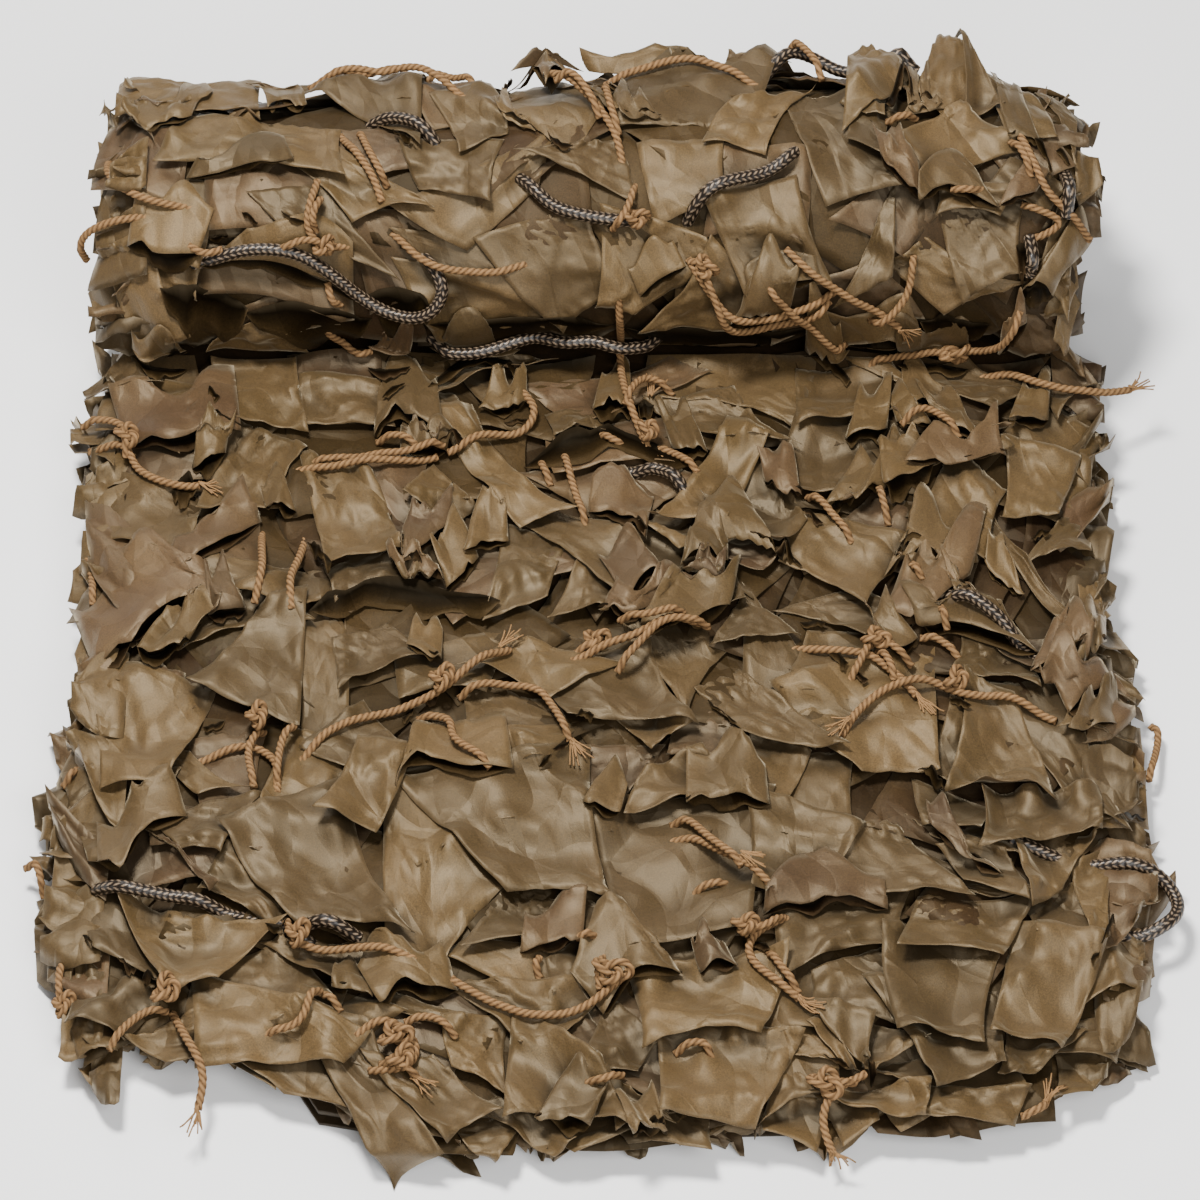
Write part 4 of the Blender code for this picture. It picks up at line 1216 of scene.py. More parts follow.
# The length over which a route, and a path, is eased: in metres, and in the cord's radii.
EASE_ROUTE, EASE_PATH = (0.0025, 0.6), (0.0006, 1.3)
STEEPEST = 0.35         # how fast a limp cord can come down from what it lies on
CORD_GAP, FLOOR_GAP = 0.0002, 0.0004


def smooth_route(points, step):
    """Evenly spaced places along a smooth curve through the chosen points."""
    pts = np.asarray(points, float)
    pts = np.concatenate([2 * pts[:1] - pts[1:2], pts, 2 * pts[-1:] - pts[-2:-1]])
    fine = []
    for a, b, c, d in zip(pts, pts[1:], pts[2:], pts[3:]):
        t = np.arange(CURVE_STEPS)[:, None] / CURVE_STEPS
        fine.append(0.5 * (2 * b + (c - a) * t + (2 * a - 5 * b + 4 * c - d) * t * t
                           + (3 * b - a - 3 * c + d) * t ** 3))
    fine = np.concatenate([*fine, pts[-2:-1]])
    reach = np.concatenate([[0.0], np.cumsum(np.linalg.norm(np.diff(fine, axis=0), axis=1))])
    goal = np.linspace(0.0, reach[-1], max(6, int(round(reach[-1] / step)) + 1))
    return np.stack([np.interp(goal, reach, fine[:, i]) for i in range(fine.shape[1])], axis=-1)


def eased(values, ease, radius, step):
    """Running mean, twice, that leaves both ends where they are."""
    reach = int((ease[0] + ease[1] * radius) / step)
    box = np.ones(2 * reach + 1) / (2 * reach + 1)
    for _ in range(2):
        values = np.convolve(np.pad(values, reach, "reflect", reflect_type="odd"), box, "valid")
    return values


def settle(route, radius, step):
    """World points of a limp cord laid along (x, s) places on whatever is there already."""
    place = smooth_route(route, step)
    x, s = place[:, 0], place[:, 1]
    h = np.full(len(x), -1.0)
    for dx in (-0.7, 0.0, 0.7):
        for ds in (-0.7, 0.0, 0.7):
            h = np.maximum(h, sample(x + dx * radius, s + ds * radius))
    h = h + radius + CORD_GAP
    slope = STEEPEST * step
    for i in range(1, len(h)):
        h[i] = max(h[i], h[i - 1] - slope)
    for i in range(len(h) - 2, -1, -1):
        h[i] = max(h[i], h[i + 1] - slope)
    return [eased(axis, EASE_ROUTE, radius, step) for axis in (x, s, h)]


def dive(h, step, depth, run, first=0.0, last=1.0):
    """Lets a cord slip down between the leaves before and after its visible share."""
    along = np.arange(len(h)) * step
    inside = np.minimum(along - first * along[-1], last * along[-1] - along)
    return h - depth * (1.0 - fade(inside, 0.0, run))


def tube(path, radius_of, sides, step):
    """Points, quads and ridge shares of a tube whose section turns along it."""
    n = len(path)
    along = np.gradient(path, axis=0)
    along /= np.linalg.norm(along, axis=1, keepdims=True)
    up = np.array([0.0, 0.0, 1.0]) - along * along[:, 2:3]
    flat = np.cross(along, up + 1e-6)
    flat /= np.linalg.norm(flat, axis=1, keepdims=True)
    lift = np.cross(flat, along)
    theta = np.linspace(0.0, 2.0 * math.pi, sides, endpoint=False)[None, :]
    dist = (np.arange(n) * step)[:, None]
    radius, ridge = radius_of(theta, dist)
    ring = (np.cos(theta)[..., None] * flat[:, None] + np.sin(theta)[..., None] * lift[:, None])
    points = path[:, None] + ring * radius[..., None]
    points = np.concatenate([points.reshape(-1, 3), path[:1], path[-1:]])
    ridge = np.concatenate([ridge.ravel(), [0.3, 0.3]])
    a = np.arange(sides)
    b = np.roll(a, -1)
    base = (np.arange(n - 1) * sides)[:, None]
    quads = np.stack([base + a, base + b, base + b + sides, base + a + sides], -1).reshape(-1, 4)
    last = (n - 1) * sides
    caps = [(n * sides, int(b[i]), int(a[i])) for i in range(sides)]
    caps += [(n * sides + 1, int(last + a[i]), int(last + b[i])) for i in range(sides)]
    return points, [tuple(int(v) for v in q) for q in quads] + caps, ridge


def twisted(radius, pitch=0.0085):
    """Three strands laid round each other."""
    def shape(theta, dist):
        turn = theta - 2.0 * math.pi * dist / pitch
        lobe = np.abs(np.cos(1.5 * turn)) ** 0.75
        # the ridge share: painted shade in the grooves between the strands
        return radius * (0.68 + 0.34 * lobe), lobe ** 1.4
    return shape


def braided(radius, pitch=0.0027, columns=8):
    """Leaning stitches in columns that alternate, as a braid's chevrons."""
    def shape(theta, dist):
        u = theta * columns / (2.0 * math.pi)
        column = np.floor(u)
        lean = np.where(column % 2 == 0, 1.0, -1.0)
        across = u - column - 0.5
        v = dist / pitch + lean * across * 0.9
        stitch = np.abs(np.sin(math.pi * v)) ** 0.6
        body = np.sqrt(np.clip(1.0 - (1.7 * across) ** 2, 0.0, 1.0))
        bump = stitch * body
        # the ridge share: painted highlight on the crowns of the stitches
        return radius * (0.88 + 0.16 * bump), np.clip(3.6 * bump - 2.5, -0.3, 1.0)
    return shape


TWINE_KIND = {"radius": TWINE_R, "shape": twisted(TWINE_R), "sides": 15, "step": 0.0009,
              "mat": TWINE, "slot": "net_twine"}
ROPE_KIND = {"radius": ROPE_R, "shape": braided(ROPE_R), "sides": 32, "step": 0.0006,
             "mat": ROPE, "slot": "border_rope"}


def place_cord(node, x, s, h, far_end, radius, shape, sides, step, mat, slot):
    """One free cord as a mesh of its own, attached to the root, with its part hidden."""
    path = np.stack([eased(axis, EASE_PATH, radius, step) for axis in world(x, s, h).T], axis=-1)
    path[:, 2] = np.maximum(path[:, 2], radius + FLOOR_GAP)
    points, faces, ridge = tube(path, shape, sides, step)
    obj = mesh_object(f"{node}_cord", points, faces, mat)
    paint(obj, "ridge", ridge)
    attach(obj, "root")
    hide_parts(node)
    around = np.linspace(-0.8, 0.8, 5)
    for a in around:
        for b in around:
            if a * a + b * b < 0.7:
                crown = math.sqrt(max(0.0, 1.0 - a * a - b * b))
                splat(x + a * radius, s + b * radius, h + crown * radius)


# How deep a cord dives between the leaves at its ends, and over what length.
ROPE_DIVE, TWINE_DIVE, STRETCH_DIVE = (0.0115, 0.019), (0.0046, 0.015), (0.0075, 0.012)
NETTING_DIVE = (0.0045, 0.006)


def lay_ropes():
    """The border rope's bights and runs."""
    step = ROPE_KIND["step"]
    for node, first, last, route in ROPES:
        x, s, h = settle(np.array(route) * 0.001, ROPE_R, step)
        place_cord(node, x, s, dive(h, step, *ROPE_DIVE, first, last), "object", **ROPE_KIND)


def lay_twines():
    """The ties, and the places, heights and directions of their bare ends."""
    ends = []
    step = TWINE_KIND["step"]
    for node, far_end, route in TWINES:
        x, s, h = settle(np.array(route) * 0.001, TWINE_R, step)
        h = dive(h, step, *TWINE_DIVE, 0.0, 1.0 if far_end == "object" else 2.0)
        place_cord(node, x, s, h, far_end, **TWINE_KIND)
        if far_end == "bare":
            ends.append((x[-1], s[-1], h[-1], math.atan2(s[-1] - s[-6], x[-1] - x[-6])))
    return ends


class Yarns:
    """Collects small lengths of one yarn into one mesh."""

    def __init__(self, kind):
        self.kind = kind
        self.points, self.faces, self.ridge, self.count = [], [], [], 0

    def add(self, points, faces, ridge):
        """One more length, as tube() gives it."""
        self.points.append(points)
        self.faces += [tuple(i + self.count for i in face) for face in faces]
        self.ridge.append(ridge)
        self.count += len(points)

    def lay(self, routes, radius, shape, slip):
        """Lengths along places in the picture, with ends that slip down between the leaves."""
        step = self.kind["step"]
        for route in routes:
            places = [on_surface(*spot, TWINE_R)[:2] for spot in route]
            x, s, h = settle(np.array(places), radius, step)
            path = world(x, s, dive(h, step, *slip))
            path[:, 2] = np.maximum(path[:, 2], self.kind["radius"] + FLOOR_GAP)
            self.add(*tube(path, shape, self.kind["sides"], step))

    def finish(self, name):
        """All the lengths as one piece."""
        obj = mesh_object(name, np.concatenate(self.points), self.faces, self.kind["mat"])
        paint(obj, "ridge", np.concatenate(self.ridge))
        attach(obj, "root")


def lay_stretches():
    """Short stretches of the border rope."""
    yarns = Yarns(ROPE_KIND)
    yarns.lay(STRETCHES, ROPE_R, ROPE_KIND["shape"], STRETCH_DIVE)
    yarns.finish("border_rope_stretches")


KNOT_STEP, FIBRE_STEP = 0.0007, 0.001
KNOT_SIDES, FIBRE_SIDES = 12, 5
KNOT_UNIT, KNOT_LONG, KNOT_ACROSS, KNOT_RISE = 0.00031, 1.25, 0.85, 1.15
FIBRES, FIBRE_R, FIBRE_RIDGE = 11, 0.00034, 0.9
BRUSH = 0.45            # half the angle a frayed end spreads over, in radians
SHORTEST_FIBRE, LONGEST_FIBRE = 0.006, 0.013
FIBRE_BEND, FIBRE_FALL = 0.0025, 0.0015


def add_knot(yarns, column, row, size):
    """A trefoil of twine, this many millimetres wide, laid flat with its crossings raised."""
    t = np.linspace(0.0, 2.0 * math.pi, 61)
    x0, s0, _ = on_surface(column, row, TWINE_R)
    a = rng.uniform(0, 6.3)
    u = size * KNOT_UNIT * (np.sin(t) + 2.0 * np.sin(2.0 * t)) * KNOT_LONG
    v = size * KNOT_UNIT * (np.cos(t) - 2.0 * np.cos(2.0 * t)) * KNOT_ACROSS
    x = x0 + u * math.cos(a) - v * math.sin(a)
    s = s0 + u * math.sin(a) + v * math.cos(a)
    h = sample(x, s).max() + TWINE_R * 1.1 - KNOT_RISE * TWINE_R * np.sin(3.0 * t)
    yarns.add(*tube(world(x, s, h), twisted(TWINE_R * 0.9), KNOT_SIDES, KNOT_STEP))


def fibre(theta, dist):
    """Plain round section of a thin fibre."""
    shape = np.broadcast(theta, dist).shape
    return np.full(shape, FIBRE_R), np.full(shape, FIBRE_RIDGE)


def add_fray(yarns, x0, s0, h0, aim):
    """A brush of loose fibres at the end of a twine."""
    for _ in range(FIBRES):
        a = aim + rng.uniform(-BRUSH, BRUSH)
        length = rng.uniform(SHORTEST_FIBRE, LONGEST_FIBRE)
        t = np.linspace(0.0, 1.0, 7)
        bend = rng.uniform(-FIBRE_BEND, FIBRE_BEND) * t ** 2
        x = x0 + rng.uniform(-0.001, 0.001) + length * t * math.cos(a) - bend * math.sin(a)
        s = s0 + rng.uniform(-0.001, 0.001) + length * t * math.sin(a) + bend * math.cos(a)
        fall = rng.uniform(-0.6, 1.0) * FIBRE_FALL * t
        h = np.maximum(h0 + fall, sample(x, s) + 0.0004)
        yarns.add(*tube(world(x, s, h), fibre, FIBRE_SIDES, FIBRE_STEP))


def lay_netting(ends):
    """The netting's twine, its knots, and the frayed ends."""
    yarns = Yarns(TWINE_KIND)
    yarns.lay(NETTING, TWINE_R * 0.95, twisted(TWINE_R * 0.95), NETTING_DIVE)
    for knot in KNOTS:
        add_knot(yarns, *knot)
    for column, row, aim in FRAYS:
        x0, s0, _ = on_surface(column, row, TWINE_R)
        h0 = float(sample(np.array([x0]), np.array([s0]))[0]) + TWINE_R
        ends.append((x0, s0, h0, math.radians(aim)))
    for end in ends:
        add_fray(yarns, *end)
    yarns.finish("netting_twine")


# The leaves that show. The corners are places in the picture, in its own units, measured:
# root left, root right, tip right, tip left; the tip is the edge that stands up by the lift (mm).
# The side is 0 for olive and 1 for brown, and pleat is how much the root edge is gathered.
LEAVES = (
    # layer, root left, root right, tip right, tip left, lift, side, pleat
    # roll, from its left end
    (2, (110, 100), (252, 82), (256, 118), (125, 131), 4, 0, 0),
    (2, (180, 128), (330, 126), (345, 158), (172, 178), 4, 0, 0),
    (3, (300, 76), (425, 72), (428, 142), (262, 98), 5, 0, 0),
    (1, (88, 150), (180, 140), (190, 188), (100, 200), 3, 1, 0),
    (1, (120, 190), (215, 188), (240, 230), (110, 240), 3, 0, 0),
    (1, (215, 170), (330, 165), (330, 225), (225, 228), 3, 1, 0),
    (2, (300, 160), (360, 158), (420, 215), (345, 218), 4, 0, 0),
    (2, (105, 100), (118, 112), (112, 158), (84, 140), 4, 0, 0),
    (3, (440, 112), (500, 95), (502, 132), (450, 150), 4, 0, 0),
    (2, (395, 76), (482, 80), (510, 112), (438, 128), 3, 1, 0),
    (2, (405, 150), (495, 150), (490, 195), (425, 190), 4, 0, 0),
    (1, (515, 74), (580, 76), (556, 60), (538, 50), 3, 0, 0),
    (1, (600, 80), (740, 76), (690, 50), (592, 55), 3, 0, 0),
    (1, (730, 74), (782, 72), (755, 56), (732, 50), 3, 0, 0),
    (1, (505, 88), (600, 80), (600, 140), (500, 122), 3, 0, 0),
    (2, (600, 84), (790, 74), (738, 131), (622, 113), 4, 0, 0),
    (3, (722, 110), (800, 100), (766, 155), (704, 143), 6, 0, 0),
    (2, (570, 150), (602, 135), (645, 178), (525, 180), 4, 0, 0.3),
    (1, (500, 130), (522, 175), (500, 240), (420, 235), 3, 0, 0),
    (1, (650, 150), (722, 150), (716, 200), (655, 215), 3, 0, 0),
    (3, (845, 104), (906, 90), (873, 44), (848, 54), 4, 0, 0),
    (3, (845, 104), (906, 90), (880, 120), (862, 116), 6, 0, 0),
    (3, (915, 105), (968, 100), (960, 42), (932, 40), 4, 0, 0),
    (3, (942, 78), (980, 70), (1012, 100), (976, 126), 6, 0, 0),
    (4, (945, 106), (1013, 155), (926, 199), (886, 148), 8, 0, 0),
    (2, (978, 62), (1042, 96), (1046, 136), (1000, 128), 6, 0, 0),
    (2, (1045, 96), (1076, 100), (1095, 160), (1060, 150), 6, 0, 0),
    (1, (1078, 150), (1082, 200), (1107, 195), (1106, 148), 4, 0, 0),
    (2, (815, 100), (886, 118), (880, 200), (800, 185), 4, 0, 0),
    (3, (852, 118), (892, 120), (886, 160), (846, 140), 4, 0, 0),
    (1, (880, 160), (930, 200), (920, 240), (850, 240), 3, 1, 0),
    (3, (936, 190), (1010, 190), (1000, 214), (937, 218), 4, 0, 0),
    (2, (1000, 175), (1060, 180), (1055, 205), (990, 205), 4, 0, 0),
    (1, (722, 160), (800, 160), (800, 230), (715, 232), 3, 1, 0),
    (1, (1000, 130), (1060, 150), (1060, 180), (1005, 178), 3, 1, 0),
    (1, (330, 130), (400, 140), (405, 180), (340, 170), 3, 1, 0),
    # roll, lower front
    (3, (112, 272), (162, 262), (184, 332), (132, 345), 5, 0, 0),
    (2, (85, 300), (112, 275), (125, 320), (98, 328), 5, 0, 0),
    (2, (145, 235), (200, 220), (203, 255), (150, 258), 4, 0, 0),
    (2, (145, 268), (196, 255), (202, 290), (160, 292), 4, 0, 0),
    (1, (245, 300), (335, 300), (325, 328), (250, 326), 3, 1, 0),
    (1, (200, 262), (330, 268), (345, 300), (215, 296), 3, 1, 0),
    (1, (95, 205), (150, 215), (140, 262), (92, 262), 3, 0, 0),
    (2, (260, 212), (340, 205), (400, 262), (300, 240), 3, 0, 0),
    (1, (345, 215), (430, 230), (440, 290), (370, 300), 3, 1, 0),
    (1, (400, 250), (480, 235), (522, 275), (440, 270), 3, 0, 0),
    (2, (410, 275), (540, 285), (536, 326), (440, 330), 4, 0, 0),
    (2, (505, 240), (602, 240), (612, 300), (545, 318), 4, 0, 0),
    (2, (590, 245), (700, 240), (652, 300), (617, 310), 4, 0, 0),
    (3, (690, 268), (742, 285), (740, 322), (640, 326), 5, 0, 0),
    (3, (715, 232), (802, 200), (836, 270), (752, 290), 5, 0, 0),
    (2, (870, 240), (906, 214), (882, 276), (820, 290), 4, 0, 0),
    (2, (905, 260), (956, 250), (1012, 300), (930, 302), 4, 0, 0),
    (2, (950, 220), (1022, 220), (1016, 270), (960, 286), 4, 0, 0),
    (2, (1046, 215), (1080, 215), (1082, 260), (1056, 290), 5, 0, 0),
    (2, (1060, 260), (1080, 285), (1076, 300), (1056, 292), 5, 0, 0),
    (2, (1060, 300), (1080, 300), (1080, 340), (1058, 332), 5, 0, 0),
    (1, (1015, 325), (1062, 315), (1061, 356), (1010, 352), 3, 1, 0),
    (1, (780, 290), (880, 285), (900, 330), (770, 330), 3, 1, 0),
    # tail, behind
    (2, (75, 350), (142, 345), (152, 402), (85, 405), 4, 0, 0),
    (2, (100, 415), (104, 442), (72, 452), (52, 432), 6, 0, 0),
    (2, (230, 335), (288, 335), (302, 402), (212, 372), 4, 0, 0),
    (3, (215, 362), (302, 360), (300, 440), (204, 422), 4, 0, 0),
    (1, (300, 350), (372, 350), (380, 386), (300, 396), 3, 1, 0),
    (2, (300, 395), (382, 385), (396, 420), (310, 432), 4, 0, 0),
    (1, (130, 350), (190, 360), (212, 420), (140, 402), 3, 0, 0),
    (2, (100, 400), (190, 386), (196, 442), (110, 442), 4, 0, 0),
    (2, (410, 350), (540, 348), (548, 386), (394, 396), 5, 0, 0),
    (1, (470, 374), (512, 370), (522, 402), (480, 402), 4, 0, 0),
    (2, (400, 410), (450, 400), (482, 440), (410, 442), 4, 0, 0),
    (1, (540, 350), (682, 350), (692, 402), (560, 412), 3, 1, 0),
    (2, (550, 420), (602, 410), (602, 436), (555, 441), 4, 0, 0),
    (1, (660, 360), (800, 370), (800, 430), (650, 402), 3, 0, 0),
    (2, (665, 425), (737, 395), (802, 430), (740, 446), 5, 0, 0),
    (2, (800, 385), (886, 362), (916, 405), (810, 432), 4, 0, 0),
    (3, (886, 365), (922, 370), (1002, 440), (970, 446), 5, 0, 0),
    (3, (930, 390), (986, 365), (1046, 385), (1000, 416), 5, 0, 0),
    (2, (1048, 394), (1085, 383), (1124, 389), (1060, 422), 6, 0, 0),
    (2, (62, 434), (112, 440), (102, 482), (76, 452), 5, 0, 0),
    (1, (125, 440), (176, 440), (196, 496), (130, 490), 3, 1, 0),
    (3, (235, 425), (302, 442), (285, 512), (204, 520), 5, 0, 0.2),
    (3, (300, 450), (372, 470), (402, 560), (328, 572), 5, 0, 0.2),
    (2, (85, 510), (190, 500), (202, 545), (92, 562), 5, 0, 0),
    (1, (100, 550), (250, 530), (246, 590), (160, 562), 3, 1, 0),
    (2, (185, 575), (332, 572), (302, 605), (190, 600), 4, 0, 0),
    (1, (90, 550), (96, 602), (66, 604), (62, 572), 5, 0, 0),
    (2, (330, 565), (402, 560), (412, 586), (330, 602), 4, 0, 0),
    (2, (80, 600), (172, 605), (150, 642), (75, 642), 4, 0, 0),
    (2, (170, 622), (292, 600), (302, 640), (180, 642), 4, 0, 0),
    (3, (425, 472), (471, 512), (456, 531), (404, 501), 6, 0, 0),
    (3, (455, 448), (502, 440), (577, 520), (520, 530), 5, 0, 0),
    (3, (520, 520), (586, 520), (702, 570), (612, 612), 5, 0, 0),
    (1, (550, 465), (642, 465), (692, 502), (600, 530), 3, 1, 0),
    (3, (705, 455), (757, 468), (727, 522), (648, 536), 5, 0, 0),
    (3, (650, 522), (737, 530), (682, 566), (640, 542), 5, 0, 0),
    (2, (740, 470), (802, 520), (792, 546), (715, 530), 4, 0, 0),
    (2, (690, 545), (742, 535), (777, 560), (755, 576), 4, 1, 0),
    (1, (440, 560), (562, 540), (562, 600), (440, 602), 3, 1, 0),
    (2, (500, 545), (562, 550), (546, 600), (488, 622), 4, 0, 0),
    (3, (570, 560), (622, 590), (612, 613), (555, 626), 5, 0, 0),
    (2, (415, 545), (456, 540), (442, 580), (404, 572), 5, 0, 0),
    (2, (740, 605), (762, 610), (792, 640), (708, 642), 4, 0, 0),
    (2, (660, 575), (736, 580), (736, 612), (638, 622), 4, 0, 0),
    (2, (790, 538), (902, 546), (882, 602), (790, 582), 5, 0, 0),
    (2, (790, 440), (892, 430), (872, 492), (800, 502), 5, 0, 0),
    (3, (875, 452), (992, 440), (1012, 462), (880, 472), 4, 0, 0),
    (3, (940, 474), (1002, 516), (984, 566), (895, 546), 6, 0, 0),
    (3, (1000, 470), (1072, 480), (1062, 516), (1005, 532), 5, 0, 0),
    (3, (978, 500), (1012, 520), (1092, 632), (1050, 622), 5, 0, 0),
    (2, (1075, 504), (1110, 505), (1106, 562), (1060, 586), 5, 0, 0),
    (1, (920, 590), (992, 560), (962, 602), (900, 622), 3, 1, 0),
    (2, (800, 600), (882, 600), (902, 632), (850, 642), 4, 0, 0),
    (2, (1085, 590), (1110, 600), (1130, 642), (1080, 642), 5, 0, 0),
    (1, (560, 440), (660, 430), (668, 470), (560, 470), 3, 1, 0),
    (1, (860, 500), (900, 500), (905, 545), (850, 545), 3, 1, 0),
    (1, (330, 475), (420, 470), (430, 545), (390, 550), 3, 1, 0),
    (1, (1020, 420), (1100, 425), (1098, 480), (1015, 470), 3, 0, 0),
    # tail, middle
    (3, (238, 632), (304, 630), (302, 728), (190, 690), 6, 0, 0),
    (3, (85, 700), (200, 715), (165, 790), (103, 797), 6, 0, 0),
    (1, (155, 665), (190, 690), (180, 718), (128, 724), 3, 1, 0),
    (2, (140, 660), (156, 668), (122, 690), (114, 696), 4, 1, 0),
    (2, (72, 600), (100, 620), (98, 690), (72, 690), 4, 0, 0),
    (1, (62, 732), (88, 760), (84, 816), (50, 806), 5, 0, 0),
    (2, (70, 820), (78, 850), (42, 852), (26, 836), 5, 0, 0),
    (2, (340, 640), (402, 636), (422, 672), (328, 682), 4, 0, 0),
    (3, (342, 757), (400, 762), (383, 838), (320, 833), 7, 0, 0),
    (2, (315, 742), (386, 720), (402, 765), (345, 772), 4, 0, 0),
    (2, (288, 742), (346, 770), (326, 832), (256, 802), 4, 0, 0),
    (1, (190, 760), (252, 745), (267, 802), (215, 812), 3, 1, 0),
    (2, (176, 750), (206, 760), (237, 802), (190, 797), 4, 0, 0),
    (1, (150, 815), (262, 815), (252, 850), (160, 847), 3, 1, 0),
    (2, (495, 650), (602, 655), (562, 692), (468, 692), 4, 0, 0),
    (2, (545, 690), (642, 650), (702, 702), (590, 732), 4, 0, 0),
    (1, (455, 700), (547, 700), (572, 736), (480, 737), 3, 0, 0),
    (2, (480, 737), (572, 741), (542, 766), (500, 762), 3, 0, 0),
    (2, (600, 716), (642, 700), (692, 722), (655, 752), 4, 0, 0),
    (2, (680, 720), (742, 735), (720, 772), (664, 746), 4, 1, 0),
    (3, (710, 702), (772, 695), (842, 762), (740, 738), 5, 0, 0),
    (3, (640, 780), (716, 755), (747, 796), (623, 822), 6, 0, 0),
    (2, (510, 760), (642, 745), (627, 790), (585, 802), 4, 1, 0),
    (2, (476, 785), (502, 790), (502, 837), (430, 837), 4, 0, 0),
    (1, (400, 758), (542, 758), (502, 782), (410, 777), 3, 1, 0),
    (2, (500, 782), (582, 800), (602, 842), (500, 842), 4, 0, 0),
    (2, (745, 745), (802, 760), (792, 802), (740, 777), 4, 0, 0),
    (2, (800, 650), (882, 640), (902, 692), (798, 702), 4, 0, 0),
    (3, (798, 702), (942, 680), (928, 782), (852, 772), 5, 0, 0),
    (2, (950, 708), (987, 733), (945, 787), (920, 766), 5, 0, 0),
    (3, (955, 705), (1022, 726), (1062, 802), (953, 802), 5, 0, 0),
    (2, (1025, 702), (1096, 722), (1102, 832), (1060, 812), 4, 0, 0),
    (2, (960, 650), (1012, 640), (1042, 682), (958, 682), 4, 0, 0),
    (2, (985, 640), (1062, 640), (1102, 662), (1040, 682), 4, 1, 0),
    (2, (1072, 640), (1126, 632), (1130, 660), (1076, 662), 5, 0, 0),
    (2, (1070, 670), (1138, 675), (1136, 702), (1070, 697), 5, 0, 0),
    (2, (1070, 720), (1136, 720), (1135, 742), (1074, 747), 5, 0, 0),
    (2, (1100, 745), (1142, 740), (1152, 832), (1100, 832), 5, 0, 0),
    (2, (910, 800), (982, 805), (986, 832), (934, 837), 4, 0, 0),
    (3, (985, 792), (1100, 790), (1098, 842), (975, 840), 4, 0, 0.4),
    (1, (300, 640), (345, 640), (335, 740), (298, 735), 3, 0, 0),
    (1, (410, 640), (500, 650), (470, 700), (400, 690), 3, 0, 0),
    (1, (600, 620), (720, 620), (720, 700), (640, 660), 3, 0, 0),
    (1, (780, 600), (800, 650), (800, 740), (720, 700), 3, 0, 0),
    (1, (400, 770), (470, 790), (440, 850), (390, 850), 3, 0, 0),
    (2, (752, 775), (850, 770), (850, 840), (760, 830), 4, 0, 0),
    # tail, front third
    (3, (70, 800), (165, 800), (125, 870), (88, 866), 6, 0, 0),
    (2, (75, 815), (90, 860), (48, 856), (28, 838), 5, 0, 0),
    (2, (95, 858), (90, 885), (60, 886), (36, 868), 5, 0, 0),
    (1, (130, 830), (200, 830), (225, 890), (115, 885), 3, 1, 0),
    (3, (158, 852), (180, 848), (224, 886), (213, 895), 4, 1, 0),
    (2, (165, 818), (255, 820), (212, 858), (178, 847), 4, 0, 0),
    (3, (245, 842), (375, 832), (400, 955), (290, 926), 5, 0, 0),
    (3, (375, 832), (495, 900), (452, 986), (398, 955), 5, 0, 0),
    (2, (215, 868), (290, 880), (300, 930), (205, 905), 4, 0, 0),
    (3, (125, 888), (288, 932), (215, 985), (162, 990), 5, 0, 0.2),
    (2, (55, 885), (128, 890), (158, 985), (95, 950), 5, 0, 0),
    (2, (32, 932), (70, 900), (76, 985), (52, 985), 5, 0, 0),
    (3, (278, 950), (412, 961), (386, 998), (322, 981), 5, 0, 0),
    (2, (212, 990), (290, 950), (330, 985), (286, 1020), 4, 0, 0),
    (1, (300, 990), (392, 1000), (360, 1042), (300, 1030), 3, 0, 0),
    (1, (362, 1028), (400, 1000), (458, 1012), (452, 1026), 4, 0, 0),
    (3, (430, 800), (600, 800), (597, 908), (498, 893), 5, 0, 0),
    (3, (600, 845), (770, 828), (745, 932), (618, 952), 5, 0, 0),
    (2, (600, 930), (752, 915), (700, 974), (640, 962), 5, 0, 0),
    (2, (495, 903), (590, 895), (600, 938), (474, 957), 4, 0, 0),
    (1, (470, 955), (560, 950), (560, 1000), (456, 978), 3, 0, 0),
    (1, (555, 955), (605, 945), (600, 990), (545, 985), 3, 0, 0),
    (2, (456, 986), (600, 1002), (560, 1042), (518, 1044), 4, 0, 0),
    (3, (630, 965), (790, 950), (756, 1045), (640, 1050), 5, 0, 0.2),
    (2, (600, 1015), (650, 1045), (640, 1070), (590, 1076), 4, 0, 0),
    (1, (570, 1000), (600, 990), (595, 1065), (560, 1065), 3, 1, 0),
    (3, (745, 830), (850, 842), (820, 892), (755, 902), 5, 0, 0),
    (3, (850, 843), (918, 848), (968, 909), (822, 894), 5, 0, 0),
    (2, (917, 850), (945, 852), (1020, 915), (975, 902), 4, 0, 0),
    (3, (946, 856), (1010, 876), (1022, 918), (962, 882), 4, 0, 0),
    (2, (925, 815), (1015, 832), (1012, 876), (952, 848), 6, 0, 0),
    (3, (1015, 820), (1100, 845), (1058, 892), (1023, 918), 5, 0, 0.2),
    (2, (788, 905), (912, 920), (884, 960), (775, 958), 4, 0, 0),
    (3, (912, 918), (1026, 915), (1002, 962), (898, 958), 5, 0, 0),
    (2, (1025, 920), (1082, 882), (1092, 950), (1050, 945), 5, 0, 0),
    (2, (1080, 885), (1140, 870), (1100, 940), (1085, 950), 5, 0, 0),
    (3, (885, 962), (1000, 965), (988, 1050), (902, 1045), 5, 0, 0),
    (3, (1000, 960), (1090, 960), (1072, 1060), (1000, 1050), 5, 0, 0),
    (2, (1020, 940), (1095, 950), (1085, 985), (1010, 975), 4, 0, 0),
    (2, (1100, 900), (1146, 890), (1148, 1000), (1100, 1010), 5, 0, 0),
    (1, (1135, 950), (1160, 955), (1154, 1005), (1135, 1015), 6, 0, 0),
    (2, (1110, 850), (1158, 850), (1165, 890), (1136, 886), 6, 0, 0),
